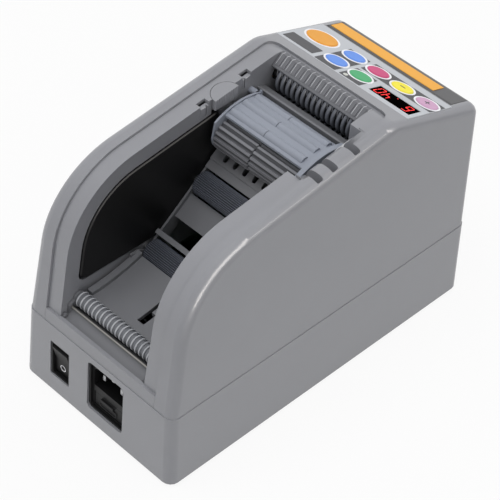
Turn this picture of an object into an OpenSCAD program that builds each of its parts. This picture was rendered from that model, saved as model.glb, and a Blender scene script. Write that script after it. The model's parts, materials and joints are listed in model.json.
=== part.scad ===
// Electric tape dispenser: a desk machine that feeds a set length of tape and cuts it.
// Frame: +Z up, origin under the middle of the machine on the table,
// -Y the mains inlet end with the tape bay, +Y the outlet end under the control panel.

/* [Housing] */
// Width of the base at its underside
body_w = 120; // [116:1:132]
// Length of the base at its underside
body_l = 238; // [232:1:256]
// Height of the crest before its rounding
crest_h = 162; // [158:1:170]
// Place of the crest along the length
crest_y = 42.5; // [40:0.5:46]
// Height of the seam between base and cover
seam_h = 51; // [47:1:55]
// Height of the ledge at the front of the tape bay
ledge_h = 59; // [57:0.5:62]
// Wall thickness of the mouldings
wall = 2.4; // [1.8:0.1:3]
// Rounding of the outer edges
edge_r = 6; // [4:0.5:8]
// Radius of the big curve at the front of the cover
front_r = 55; // [45:1:60]
// Rounding of the crest
crest_r = 20; // [12:1:26]
// Rounding of the rear top edge
rear_r = 8; // [5:0.5:10]
// Slope of the side rails in degrees
rail_angle = 7.6; // [6:0.1:9]
// Slope of the control panel in degrees
panel_angle = 18; // [16:0.5:20]
// Lean of the front edge of the cover in degrees
front_lean = 6.7; // [5:0.1:8]
// Draft of the side walls in degrees
side_draft = 2.3; // [1:0.1:3]
// Draft of the front and rear walls in degrees
end_draft = 0.8; // [0.3:0.1:1.4]
// How far the base stands proud of the cover at the seam
seam_step = 0.4; // [0.2:0.1:0.8]
// How far the feet stand below the base
foot_h = 1.5; // [1:0.5:3]
// Diameter of a rubber foot
foot_d = 14; // [10:1:18]
// Diameter of the housing screws
screw_d = 3; // [2.5:0.5:4]

/* [Tape bay] */
// Clear width between the bay walls
bay_w = 66.6; // [64:0.2:70]
// Width of the lowered rim band beside the bay
rim_band = 10.2; // [8:0.2:12]
// How far the rim band lies below the outer rim
rim_step = 1.5; // [0.8:0.1:2.5]
// Thickness of the bay walls
liner_t = 2; // [1.6:0.1:2.4]
// Depth of the dark side panels below the rim
panel_drop = 11; // [9:0.5:13]
// Thickness of the floor plates
floor_t = 2.5; // [2:0.1:3.5]
// Diameter of the guide roller over its rings
guide_d = 9.4; // [8:0.2:10]
// Rings on the guide roller
guide_rings = 20; // [16:1:22]
// Diameter of the idler rollers
idler_d = 14.4; // [12:0.2:15]
// Flutes on an idler roller
idler_flutes = 36; // [24:1:40]
// Diameter of an idler axle
axle_d = 5; // [4:0.5:6]
// Row of holes in the ramp plate
ramp_holes = 7; // [5:1:9]
// Spacing of those holes
ramp_hole_pitch = 7.5; // [6:0.5:8]

/* [Roller holder] */
// Diameter of the press roller
press_d = 18.8; // [17:0.2:19]
// Flutes on the press roller
press_flutes = 16; // [12:1:20]
// Outer radius of the holder cheeks
cheek_r = 41; // [40:0.5:42]
// Thickness of a holder cheek
cheek_t = 3; // [2.4:0.1:3.4]
// Radius of the release button
latch_r = 8.5; // [7:0.5:9]
// Travel of the release button
latch_travel = 3; // [2:0.5:4]
// Width of the grooves in the right rim
groove_w = 4.6; // [4.2:0.1:5]
// Depth of those grooves
groove_deep = 7; // [6:0.5:8]
// Rounding of the grooved rim towards the bay
roll_r = 6; // [4:0.5:6.5]

/* [Feed and cutter] */
// Diameter of the upper feed roller over its rings
feed_d = 17.2; // [16:0.2:17.6]
// Rings on a feed roller
feed_rings = 15; // [11:2:15]
// Tongues on the comb guide
comb_tongues = 17; // [13:2:17]
// Diameter of a feed shaft
shaft_d = 6; // [5:0.5:7]
// Thickness of the side frame plates
frame_t = 2; // [1.5:0.1:2.5]
// Tooth size of the gears
gear_m = 1; // [0.9:0.05:1.1]
// Teeth on each feed gear
feed_teeth = 17; // [16:1:18]
// Teeth on the transfer gear
transfer_teeth = 30; // [26:1:32]
// Teeth on a motor pinion
pinion_teeth = 12; // [11:1:14]
// Face width of the gears
gear_w = 4; // [3:0.5:5]
// Diameter of the motors
motor_d = 26; // [22:1:28]
// Stroke of the moving blade
blade_stroke = 9; // [7:0.5:10]

/* [Control panel] */
// Width of the plain border beside the panel sheet
panel_border = 4.3; // [3.5:0.1:6]
// Length of the panel sheet along the slope
sheet_l = 41; // [39:0.5:42]
// Thickness of the panel sheet
sheet_t = 0.8; // [0.6:0.1:1.2]
// Distance of the sheet from the crest along the slope
sheet_start = 15.6; // [14:0.2:17]
// Length of a key
key_w = 14; // [12:0.5:14.5]
// Height of a key
key_l = 10.8; // [9:0.2:11.5]
// Length of the start key
start_w = 20.2; // [18:0.2:21]
// Height of the start key
start_l = 16.6; // [14:0.2:17]
// Travel of the keys
key_travel = 0.5; // [0.3:0.1:0.6]
// Width of the display window
display_w = 29.4; // [26:0.2:30]
// Height of the display window
display_l = 11.4; // [10:0.2:12]
// Width of the blade guard's bare end margin
guard_margin = 7; // [6:0.5:9]

/* [Mains inlet] */
// Width of the inlet opening
inlet_w = 28.4; // [27:0.2:30]
// Height of the inlet opening
inlet_h = 35.5; // [34:0.5:36.5]
// Width of the switch opening
switch_w = 15.5; // [14:0.5:17]
// Height of the switch opening
switch_h = 25.5; // [22:0.5:27]
// Tilt of the rocker to either side of its middle in degrees
rocker_swing = 8; // [5:1:10]

/* [Hidden] */
$fn = 48;

body_grey = "#8a8c91";
floor_grey = "#65676c";
panel_black = "#161718";
trim_dark = "#4c4e54";
holder_blue = "#979daa";
silver = "#a7aab0";
steel = "#b4b6ba";

// Clearances
fit_gap = 0.1;
run_gap = 0.05;
clear = 0.3;
slide_gap = 0.4;
reach = 400;

// Side outline of the housing, as corners with their roundings
front_y = -body_l / 2;
rear_y = body_l / 2;
sink = 2 * edge_r;
rail_t = tan(rail_angle);
panel_t = tan(panel_angle);
lean_t = tan(front_lean);
draft_t = tan(end_draft);
side_t = tan(side_draft);
seam_y = front_y + (seam_h - foot_h) * draft_t;
brow_y = (seam_y + (crest_h - crest_y * rail_t - seam_h) * lean_t) / (1 - rail_t * lean_t);
brow_z = crest_h + (brow_y - crest_y) * rail_t;
tail_y = (rear_y - (crest_h + crest_y * panel_t - foot_h) * draft_t) / (1 - panel_t * draft_t);
tail_z = crest_h - (tail_y - crest_y) * panel_t;
side_corners = [
    [front_y - sink * draft_t, foot_h - sink],
    [seam_y, seam_h],
    [brow_y, brow_z],
    [crest_y, crest_h],
    [tail_y, tail_z],
    [rear_y + sink * draft_t, foot_h - sink]
];
seam_r = 40;
side_radii = [0, seam_r, front_r, crest_r, rear_r, 0];
side_steps = [0, 2, 14, 4, 5, 0];
edge_turns = [90, 67.5, 45, 22.5, 0];
least_r = 0.5;

// Tape bay
bay_x = bay_w / 2;
rim_x = bay_x + rim_band;
bay_back = crest_y + 6.5;
bay_corner_r = 6;
rim_d = seam_step + rim_step;
frame_x = bay_x + liner_t + 0.7;
window_gap = 0.8;
side_panel_in = 0.9;
stringer_t = 1.4;
side_panel_low = ledge_h + 18;
side_panel_r = 5;
left_back = crest_y - 44.5;
right_back = crest_y - 62.5;
guide = [front_y + 16, ledge_h + 8];
rod = [front_y + 10.3, ledge_h + 4.6];
rod_d = 1.4;
guide_ring = 1.1;
guide_core = 0.8;
guide_axle_d = 3;
floor_x = bay_x - side_panel_in - 0.3;
roller_x = floor_x - stringer_t - 0.1;
ear_t = 1.8;
ear_gap = 0.2;
idler_a = [front_y + 66.5, ledge_h + 13.5];
press = [crest_y - 45.5, crest_h - 31];
tail_angle = 38.85;
tail_dir = [cos(tail_angle), sin(tail_angle)];
tail_up = [-tail_dir[1], tail_dir[0]];
tail_drop = press_d / 2 + 0.6;
tail_foot = press - 15.5 * tail_dir - tail_drop * tail_up;
tail_face = 4.5;
foot_span = tail_foot - idler_a;
ramp_angle = atan2(foot_span[1], foot_span[0]) - asin(tail_face / norm(foot_span));
ramp_dir = [cos(ramp_angle), sin(ramp_angle)];
ramp_up = [-ramp_dir[1], ramp_dir[0]];
roller_room = idler_d / 2 + 1;
foot_s = foot_span * ramp_dir;
idler_span = foot_s - 5.3 - roller_room;
idler_b = idler_a + idler_span * ramp_dir;
idler_round = 2;
idler_flute_r = 0.5;
apron_deep = 5;
apron_lap = 2;
panel_lip = 0.8;
floor_a = guide + [guide_d / 2 + 1, -0.4];
floor_b = idler_a + [-roller_room, 1];
floor_sag = 1.6;
floor_steps = 8;
kerb_w = 4;
kerb_h = 2.6;
lip_h = tail_face + 0.5;
lip_t = 3;
ramp_start = 22.6;
ramp_drop = 0.8;
tail_hole_s = 8.9;
ramp_hole_d = 3;
ramp_hole_l = 2;
cutout = [bay_x - 32, floor_a[0] + 6];
cutout_w = 5;
cutout_l = 20;
tray_y = front_y + wall + 2.2;
tray_low = ledge_h - 5;
tray_steps = 6;
tab_w = 2.2;
tab_h = 1.6;

// Roller holder and press roller
arc_mid = [crest_y - 32.5, crest_h - 53];
holder_pivot = [crest_y - 20.5, crest_h - 17.5];
pivot_d = 4;
pivot_boss_r = 3.2;
press_axle_d = 5;
cheek_left = 3.3 - bay_x;
cheek_right = frame_x - clear;
web_x = [cheek_left + cheek_t, cheek_right - cheek_t];
web_r = cheek_r - 3.5;
web_t = 3;
web_front = crest_y - 46;
web_rear = crest_y - 18;
wave_r = 3;
wave_count = 3;
wave_first = 104;
wave_turn = 14.5;
wave_sink = 1.4;
wave_stop = 4.5;
wave_start = 1;
split_w = 0.4;
press_flute_r = 1.1;
press_offset = 4;
latch_x = bay_x - 2.8;
latch_y = crest_y - 42;
latch_deep = 8;
latch_z = crest_h + (latch_y - crest_y) * rail_t - rim_step;
post_y = [crest_y - 56, crest_y - 24.5];
post_w = 6;
post_h = 9;
post_deep = 1.5;
post_slit = 0.8;
grooves = [crest_y - 54.5, crest_y - 43.4, crest_y - 26.7];
groove_end = rim_x + 7.8;
groove_wall = 2;
groove_r = 1;
recess = [crest_y - 60.5, crest_y - 13.5];
recess_x = bay_x + 6;
recess_low = press[1] - 11;
recess_mid = (recess[0] + recess[1]) / 2;
rib_count = 12;
rib_pitch = 1.3;
rib_d = 0.7;

// Feed rollers, gears and cutter
feed = [crest_y + 0.7, crest_h - 16.2];
gear_step = gear_m * feed_teeth;
lower_turn = 260.9;
lower = feed + gear_step * [cos(lower_turn), sin(lower_turn)];
lower_d = 2 * gear_step - feed_d - 1.6;
feed_x = bay_x - 4.9;
feed_core = 2.4;
ring_w = 2.4;
bush_t = 2;
train_turn = -53;
train_dir = [cos(train_turn), sin(train_turn)];
transfer = lower + gear_m * (feed_teeth + transfer_teeth) / 2 * train_dir;
motor = transfer + gear_m * (transfer_teeth + pinion_teeth) / 2 * train_dir;
gear_x = frame_x + frame_t + 1;
lower_phase = lower_turn - 180;
feed_phase = mesh_phase(lower_phase, feed_teeth, feed_teeth, lower_turn - 180);
transfer_phase = mesh_phase(lower_phase, feed_teeth, transfer_teeth, train_turn);
pinion_phase = mesh_phase(transfer_phase, transfer_teeth, pinion_teeth, train_turn);
stud_d = 5;
motor_l = 34;
motor_shaft_d = 3;
motor_boss = frame_t + 0.5;
nose_d = 0.4 * motor_d;
shaft_sink = 12;
tooth_root = 1.2 * gear_m;
tooth_tip = 0.9 * gear_m;
tooth_foot = 0.95 * gear_m;
tooth_mid = 0.66 * gear_m;
tooth_top = 0.3 * gear_m;
comb_gap = 0.6;
comb_low = feed + [-5.7, 7.8];
comb_high = feed + [1.1, 13.6];
comb_tip = feed + [-6.1, 3.5];
comb_slope = comb_high - comb_low;
comb_angle = atan2(comb_slope[1], comb_slope[0]);
comb_t = 0.7;
comb_back = bay_back - 0.4;
comb_end = feed[0] + 3.4;
tongue_w = 2.7;
tongue_rise = 0.4;
tongue_start = 1.6;
tongue_end = norm(comb_slope) - 0.4;
tongue_r = 0.8;
bar_y = [crest_y - 15.4, crest_y - 9.1];
bar_z = [crest_h - 23.5, crest_h - 20];
tail_end = (bar_y[0] - tail_foot[0] - tail_face * tail_dir[1]) / tail_dir[0] - 1;
blade_y = rear_y - 13;
blade_t = 1.8;
tape_z = crest_h - 53;
blade_x = bay_x - 2.5;
guard_low = tape_z + 3;
outlet_low = tape_z - 5;
cutter_r = gear_m * pinion_teeth / 2;
cutter = [-14, tape_z - 29];
cutter_back = blade_y - 4;
plate_t = 2;
rack_x = cutter[0] + cutter_r;
rack_pitch = PI * gear_m;
rack_low = cutter[1] - 1.2 * cutter_r;
rack_w = 5;
blade_low = tape_z - 12;
blade_h = 28;
blade_side = 4;

// Side frames
frame_in = 14;
frame_in_rear = 9;
frame_front = front_y + 30;
frame_leg = front_y + 75;
frame_end = blade_y - 4;
frame_holes = [[crest_y - 68, foot_h + 25, 20], [crest_y - 30, foot_h + 40, 22]];
tie_d = 6;
tie_places = [[front_y + 40, ledge_h - 4], [crest_y - 30, foot_h + 70], [crest_y + 45, foot_h + 25]];
chute_front = feed + [feed_d / 2 + 1.5, -9.2];
chute_end = [frame_end - clear, tape_z - 1];

// Control panel, in distances along the slope from the crest corner
panel_half = body_w / 2 - (crest_h - foot_h) * side_t - panel_border;
sheet_w = 2 * panel_half;
window_rim = 2.5;
board_t = 1.6;
board_z = -6.4;
stem_d = 4;
far_row = sheet_start + 27.7;
near_row = sheet_start + 11.6;
last_key_x = panel_half - 8;
start_key_x = 13.4 - panel_half;
key_pitch = (last_key_x - start_key_x - 4.8) / 4;
key_rise = 0.6;
lamp_d = 3;
guard_r = 2.2;
guard_y = sheet_start + sheet_l + 3.4;
guard_half = panel_half - guard_margin + 4.6;
guard_t = 2.2;
guard_pin_d = 2.4;
strip_t = 0.3;
strip_y = [guard_y + 1.2, guard_y + 8.8];
strip_x = [0.5 - guard_half, guard_half - 15];
start_row = far_row - 2.5;
key_step = 0.6;
key_sides = 40;
tact_h = 0.7;
stem_l = -board_z - board_t - tact_h - key_travel - fit_gap;
display_x = last_key_x - key_pitch / 2 - 0.5;
display_y = sheet_start + 10;
lamp_x = key_x(2) - 4.5;
lamp_y = sheet_start + 3.6;
key_places = [[start_key_x, start_row], [key_x(3), near_row], [key_x(3), far_row], [key_x(2), near_row],
              [key_x(2), far_row], [key_x(1), far_row], [key_x(0), far_row]];

// Mains inlet
inlet_x = 6.7;
inlet_z = foot_h + 27.6;
switch_x = -30.4;
switch_z = foot_h + 24.8;
inlet_deep = 28;
drawer_w = 22;
drawer_h = 9.5;
drawer_z = inlet_z - 10.2;
plug_w = 23.4;
plug_h = 16;
plug_z = inlet_z + 7.6;
plug_deep = 17;
face_y = front_y + 2.2;
inlet_r = 3;
plug_bevel = 4.5;
flange_y = front_y + wall + 0.9;
flange_t = 2;
drawer_face = face_y + 1.2;
drawer_end = face_y + 21;
drawer_wall = 2;
drawer_open = face_y + 5;
pull = [14, 4.4];
pull_z = drawer_z - 1.4;
pull_rim = 0.8;
pull_out = 0.6;
catch_w = 10;
catch_z = [drawer_z + 2, drawer_z + 3.8];
pin = [2, 4];
pin_in = 4;
pin_places = [[-7, -2], [0, 2.6], [7, -2]];
switch_r = 0.8;
switch_frame_t = 1.4;
rocker_y = face_y + 5;
rocker_half = switch_h / 2 - switch_frame_t - 1.2;
rocker_x = switch_w / 2 - switch_frame_t - clear;
rocker_pin_d = 2;

post_x = body_w / 2 - seam_h * side_t - seam_step - wall - 3;
post_end = 13;
post_d = 8;
foot_in = 16;
head_d = screw_d + 3;
head_h = 3;
cover_post_h = 14;
screw_bite = 9;
board_low = foot_h + wall;
board_lift = 5;
board_x = 30;
board_y = [crest_y - 100, crest_y + 36];
board_in = [4, 6];
board_post_d = 7;
transformer = [40, 38, 33];
transformer_y = board_y[0] + 12;
relay = [28, 22, 11];
relay_at = [-24, board_y[0] + 64];
capacitor_d = 13;
capacitor_h = 24;
capacitor_at = [14, board_y[0] + 76];

// Rounded outlines

function unit(v) = v / norm(v);

function right_of(v) = [v[1], -v[0]];

// Corners of a clockwise outline, moved inwards by d
function inset_corners(p, d) = [
    for (i = [0:len(p) - 1])
        let (
            a = p[(i + len(p) - 1) % len(p)],
            b = p[i],
            c = p[(i + 1) % len(p)],
            n1 = right_of(unit(b - a)),
            n2 = right_of(unit(c - b))
        )
        b + d * (n1 + n2) / (1 + n1 * n2)
];

// Points of the arc of radius r that rounds the corner b
function corner_arc(a, b, c, r, n) = n == 0 ? [b] :
    let (
        u = unit(a - b),
        v = unit(c - b),
        half = acos(u * v) / 2,
        mid = b + unit(u + v) * r / sin(half),
        p = b + u * r / tan(half) - mid,
        q = b + v * r / tan(half) - mid,
        start = atan2(p[1], p[0]),
        turn = (atan2(q[1], q[0]) - start + 540) % 360 - 180
    )
    [for (i = [0:n]) mid + r * [cos(start + turn * i / n), sin(start + turn * i / n)]];

function rounded(p, r, n) = [
    for (i = [0:len(p) - 1])
        each corner_arc(p[(i + len(p) - 1) % len(p)], p[i], p[(i + 1) % len(p)], r[i], n[i])
];

// Side outline of the housing, moved inwards by d
function side_outline(d) =
    rounded(inset_corners(side_corners, d), [for (r = side_radii) max(r - d, least_r)], side_steps);

function along_y(a, b, y) = [y, a[1] + (b[1] - a[1]) * (y - a[0]) / (b[0] - a[0])];

function along_z(a, b, z) = [a[0] + (b[0] - a[0]) * (z - a[1]) / (b[1] - a[1]), z];

// Point on the tape ramp: s along it from the front idler, h above the idlers' line
function ramp(s, h) = idler_a + ramp_dir * s + ramp_up * h;

// The same for the ramp's upper plate, from its foot and its face
function tail(s, h) = tail_foot + tail_dir * s + tail_up * h;

// Turn that puts gear 2 in mesh with gear 1, seen along the line from 1 to 2
function mesh_phase(phase, n1, n2, line) = line + 180 + 180 / n2 - (phase - line) * n1 / n2;

function ellipse(a, b, n) = [for (i = [0:n - 1]) [a * cos(360 * i / n), b * sin(360 * i / n)]];

// Helpers

module across(x, t) translate([x, 0, 0]) rotate([90, 0, 90]) linear_extrude(t) children();

module both_sides() {
    children();
    mirror([1, 0, 0]) children();
}

module rod_x(p, d, x0, x1) translate([x0, p[0], p[1]]) rotate([0, 90, 0]) cylinder(d = d, h = x1 - x0);

module slab(z0, z1) translate([-reach / 2, -reach / 2, z0]) cube([reach, reach, z1 - z0]);

module block(low, high) translate(low) cube(high - low);

module spot(p, d) translate(p) circle(d = d);

// Panel's own axes: along its slope from the crest, and out of the cover's surface
module on_panel() translate([0, crest_y, crest_h]) rotate([-panel_angle, 0, 0]) translate([0, 0, -seam_step])
    children();

module side_region(d) polygon(side_outline(d));

// Box with rounded corners in X and Z, from y0 to y1
module slot_y(x, z, w, h, r, y0, y1) translate([x, y1, z]) rotate([90, 0, 0]) linear_extrude(y1 - y0) {
    corners = [[-w / 2, -h / 2], [-w / 2, h / 2], [w / 2, h / 2], [w / 2, -h / 2]];
    polygon(rounded(corners, [r, r, r, r], [4, 4, 4, 4]));
}

// One cross outline of the housing at a turn of its edge rounding
function body_ring(side, turn, d) =
    let (
        r = max(edge_r - d, least_r),
        x = body_w / 2 - d - r * (1 - sin(turn))
    )
    [for (q = side_outline(d + r * (1 - cos(turn)))) [side * (x - (q[1] - foot_h) * side_t), q[0], q[1]]];

// The housing's full form, moved inwards by d
module body_form(d) {
    count = len(edge_turns);
    rings = concat(
        [for (i = [0:count - 1]) body_ring(-1, edge_turns[i], d)],
        [for (i = [count - 1:-1:0]) body_ring(1, edge_turns[i], d)]
    );
    n = len(rings[0]);
    last = len(rings) - 1;
    sides = [
        for (i = [0:last - 1], j = [0:n - 1])
            let (a = i * n + j, b = i * n + (j + 1) % n)
            each [[a, b, b + n], [a, b + n, a + n]]
    ];
    caps = [[for (j = [n - 1:-1:0]) j], [for (j = [0:n - 1]) last * n + j]];
    polyhedron([for (r = rings) each r], concat(sides, caps));
}

module screw_places() for (x = [-post_x, post_x], y = [front_y + post_end, rear_y - post_end])
    translate([x, y, 0]) children();

module foot_places() for (x = [-1, 1], y = [-1, 1])
    translate([x * (body_w / 2 - foot_in), y * (body_l / 2 - foot_in - foot_d), 0]) children();

// Gear outline with flat-sided teeth, one tooth along +X
module gear_2d(teeth) {
    pitch_r = gear_m * teeth / 2;
    root_r = pitch_r - tooth_root;
    tip_r = pitch_r + tooth_tip;
    bed_r = 0.9 * root_r;
    circle(r = root_r);
    for (i = [0:teeth - 1]) rotate(i * 360 / teeth)
        polygon([[bed_r, -tooth_foot], [root_r, -tooth_foot], [pitch_r, -tooth_mid], [tip_r, -tooth_top],
                 [tip_r, tooth_top], [pitch_r, tooth_mid], [root_r, tooth_foot], [bed_r, tooth_foot]]);
}

module gear_x_axis(p, teeth, phase, bore) across(gear_x, gear_w) translate(p) difference() {
    rotate(phase) gear_2d(teeth);
    circle(d = bore);
}

// Roller with raised rings along its length
module ringed_roller(p, d, core, half, rings, width, bore) {
    pitch = 2 * half / rings;
    translate([0, p[0], p[1]]) rotate([0, 90, 0]) rotate_extrude() difference() {
        union() {
            translate([0, -half]) square([core, 2 * half]);
            for (i = [0:rings - 1]) translate([0, -half + (i + 0.5) * pitch]) {
                translate([core / 2, -width / 2]) square([(d - width) / 2 - core / 2, width]);
                translate([(d - width) / 2, 0]) circle(d = width, $fn = 24);
            }
        }
        translate([-reach, -reach / 2]) square([reach + bore / 2, reach]);
    }
}

module fluted_2d(d, flutes, depth_r, bore) difference() {
    circle(d = d);
    for (i = [0:flutes - 1]) rotate(i * 360 / flutes) translate([d / 2, 0]) circle(r = depth_r, $fn = 16);
    circle(d = bore);
}

// Housing

module base_tub() color(body_grey) difference() {
    union() {
        difference() {
            intersection() {
                body_form(0);
                slab(foot_h, seam_h);
            }
            intersection() {
                body_form(wall);
                slab(foot_h + wall, crest_h);
            }
        }
        screw_places() translate([0, 0, foot_h]) cylinder(d = post_d, h = seam_h - foot_h);
    }
    slot_y(inlet_x, inlet_z, inlet_w, inlet_h, inlet_r, front_y - wall, front_y + 3 * wall);
    slot_y(switch_x, switch_z, switch_w, switch_h, switch_r, front_y - wall, front_y + 3 * wall);
    foot_places() cylinder(d = foot_d + 2 * fit_gap, h = foot_h + 1);
    screw_places() {
        cylinder(d = head_d + 1, h = foot_h + head_h + 0.2);
        cylinder(d = screw_d + 2 * fit_gap, h = seam_h + 1);
    }
}

module bay_prism(x, y, r) translate([0, 0, seam_h - 1]) linear_extrude(crest_h)
    polygon(rounded([[-x, front_y - 9], [-x, y], [x, y], [x, front_y - 9]], [0, r, r, 0], [0, 5, 5, 0]));

// Height of the cover's rim at y
function rim_z(y) = crest_h + (y - crest_y) * rail_t - seam_step / cos(rail_angle);

module finger_grooves() for (y = grooves) translate([0, y, rim_z(y) - groove_deep]) {
    side = groove_w / 2;
    corners = [[recess_x - 1, -side], [recess_x - 1, side], [groove_end, side], [groove_end, -side]];
    linear_extrude(2 * groove_deep) polygon(rounded(corners, [0, 0, groove_r, groove_r], [0, 0, 3, 3]));
}

// Solid stretch of rim beside the holder, which the grooves are sunk in
module grip() intersection() {
    body_form(seam_step);
    across(recess_x, groove_end + groove_wall - recess_x) difference() {
        translate([recess[0] + fit_gap, ledge_h]) square([recess[1] - recess[0] - 2 * fit_gap, reach]);
        side_region(seam_step + groove_deep + groove_wall);
    }
}

// Cut that rolls this stretch over into the bay
module rim_roll() translate([recess_x, recess_mid, rim_z(recess_mid)]) rotate([rail_angle + 90, 0, 0])
    linear_extrude(recess[1] - recess[0], center = true) difference() {
        translate([-roll_r, -roll_r]) square(2 * roll_r);
        spot([roll_r, -roll_r], 2 * roll_r);
    }

module guard_opening() intersection() {
    half = guard_half + slide_gap;
    across(-half, 2 * half) translate([crest_y, outlet_low]) square(reach);
    on_panel() block([-reach, guard_y - guard_r - slide_gap, -reach], [reach, reach, reach]);
}

module upper_cover() color(body_grey) difference() {
    union() {
        difference() {
            intersection() {
                body_form(seam_step);
                slab(seam_h, crest_h);
            }
            body_form(seam_step + wall);
            bay_prism(rim_x, bay_back, bay_corner_r);
        }
        screw_places() translate([0, 0, seam_h]) cylinder(d = post_d, h = cover_post_h);
        grip();
        both_sides() on_panel() block([guard_half + slide_gap, guard_y - 4, -5.5],
                                      [guard_half + slide_gap + 4, guard_y + 4, -wall / 2]);
    }
    on_panel() {
        block([-panel_half - fit_gap, sheet_start - fit_gap, -sheet_t],
              [panel_half + fit_gap, sheet_start + sheet_l + fit_gap, 5]);
        block([window_rim - panel_half, sheet_start + 1, -wall - 3],
              [panel_half - window_rim, sheet_start + sheet_l - window_rim, 5]);
        translate([0, 0, -wall - 3]) linear_extrude(wall + 3) key_holes();
    }
    guard_opening();
    both_sides() on_panel() translate([0, guard_y, -guard_r]) rotate([0, 90, 0])
        cylinder(d = guard_pin_d + 2 * run_gap, h = guard_half + slide_gap + 3);
    finger_grooves();
    rim_roll();
    screw_places() cylinder(d = screw_d + 2 * run_gap, h = seam_h + screw_bite + 2);
}

// Tape bay

module bay_side_2d(low) intersection() {
    side_region(rim_d);
    translate([front_y, low]) square([bay_back - fit_gap - front_y, reach]);
}

// Low front wall of the bay, which closes the cover between its rims
module apron() intersection() {
    difference() {
        body_form(seam_step);
        body_form(seam_step + wall);
    }
    block([-rim_x, front_y, seam_h], [rim_x, front_y + apron_deep, ledge_h]);
}

// Outline of a side panel that ends at back, grown all round
function side_panel_outline(back, grow) =
    let (
        c = inset_corners(side_corners, rim_d + panel_drop - grow),
        low = side_panel_low - grow,
        end = back + grow
    )
    rounded([along_z(c[1], c[2], low), c[2], along_y(c[2], c[3], end), [end, low]],
            [side_panel_r, front_r - panel_drop - rim_d + grow, 3, 3], [4, 12, 3, 3]);

module latch_2d(r, x) intersection() {
    translate([-bay_x + 2, latch_y]) circle(r = r);
    translate([-reach + x, -reach / 2]) square(reach);
}

module latch_cut() translate([0, 0, latch_z - latch_deep - latch_travel - 2])
    linear_extrude(reach / 4) latch_2d(latch_r + clear, 0);

module post_cuts(gap) for (y = post_y) {
    top = crest_h + (y - crest_y) * rail_t - rim_step;
    block([-bay_x - liner_t - post_deep - gap, y - post_w / 2 - gap, top - post_h - gap],
          [-bay_x + 1, y + post_w / 2 + gap, top + post_h]);
}

// Slit that leaves a springy prong on each post, on the side of the button
module post_slits() for (y = post_y) {
    prong = y + sign(latch_y - y) * post_w / 4;
    block([-bay_x - liner_t + post_slit, prong - post_slit / 2, ledge_h],
          [0, prong + post_slit / 2, crest_h]);
}

module bay_liner() color(body_grey) difference() {
    liner_form();
    latch_cut();
    post_cuts(fit_gap);
    block([bay_x - 1, recess[0], recess_low], [reach, recess[1], crest_h]);
}

// Wall and rim band on the right, with a window for a side panel that ends at back
module liner_side(back) {
    across(bay_x, liner_t) difference() {
        bay_side_2d(ledge_h);
        polygon(side_panel_outline(back, window_gap));
        spot(holder_pivot, pivot_d + 2 * run_gap);
        for (p = [feed, lower]) spot(p, shaft_d + 3);
        for (p = [idler_a, idler_b]) spot(p, axle_d + 2 * clear);
        for (p = tie_places) spot(p, tie_d + 2 * clear);
    }
    across(bay_x, rim_band - fit_gap) difference() {
        bay_side_2d(ledge_h - apron_lap);
        side_region(rim_d + liner_t);
    }
}

module liner_form() intersection() {
    bay_prism(rim_x - fit_gap, bay_back - fit_gap, bay_corner_r);
    union() {
        mirror([1, 0, 0]) liner_side(left_back);
        liner_side(right_back);
        across(-bay_x - liner_t, 2 * (bay_x + liner_t)) intersection() {
            difference() {
                bay_side_2d(ledge_h);
                side_region(rim_d + liner_t);
            }
            translate([feed[0] + 3.5, ledge_h]) square(reach);
        }
        apron();
    }
}

// Plate that fills a side window, with a bevelled lip on the bay's side
module side_panel(back) difference() {
    face = bay_x - side_panel_in;
    hull() {
        across(face, frame_x - face) polygon(side_panel_outline(back, -panel_lip));
        across(face + panel_lip, frame_x - face - panel_lip) polygon(side_panel_outline(back, 0));
    }
    rod_x(idler_a, axle_d + 2 * clear, 0, reach);
    rod_x(idler_b, axle_d + 2 * clear, 0, reach);
}

module left_side_panel() color(panel_black) mirror([1, 0, 0]) side_panel(left_back);

module right_side_panel() color(panel_black) side_panel(right_back);

// Outline of one ramp plate between two places along the ramp
module ramp_plate(s0, s1, h)
    polygon([ramp(s0, h), ramp(s1, h), ramp(s1, h - floor_t), ramp(s0, h - floor_t)]);

// Dished line of the front floor, lowered by drop
function floor_arc(drop) = [
    for (i = [0:floor_steps])
        let (part = i / floor_steps)
        floor_a + (floor_b - floor_a) * part - [0, drop + 4 * floor_sag * part * (1 - part)]
];

module floor_front_2d(up, down) {
    under = floor_arc(down);
    polygon(concat(floor_arc(-up), [for (i = [floor_steps:-1:0]) under[i]]));
}

// Side rail under the idlers and the ramp plates
module stringer_2d() polygon([
    floor_b + [-6, kerb_h], floor_b + [0, kerb_h], ramp(-2, 1), ramp(idler_span + 8, 2),
    tail(tail_end, 0), tail(tail_end, -floor_t - 4), ramp(idler_span, -9), ramp(0, -9),
    floor_b + [-6, -floor_t]
]);

// Upright bar behind the front idler
module ramp_lip_2d(s) polygon([ramp(s, lip_h), ramp(s + lip_t, lip_h), ramp(s + lip_t, -3), ramp(s, -3)]);

// Slot along the ramp, up and down through its plate
module ramp_hole() {
    for (y = [-ramp_hole_l / 2, ramp_hole_l / 2]) translate([0, y, 0])
        cylinder(d = ramp_hole_d, h = 8 * floor_t, center = true);
    cube([ramp_hole_d, ramp_hole_l, 8 * floor_t], center = true);
}

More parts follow.
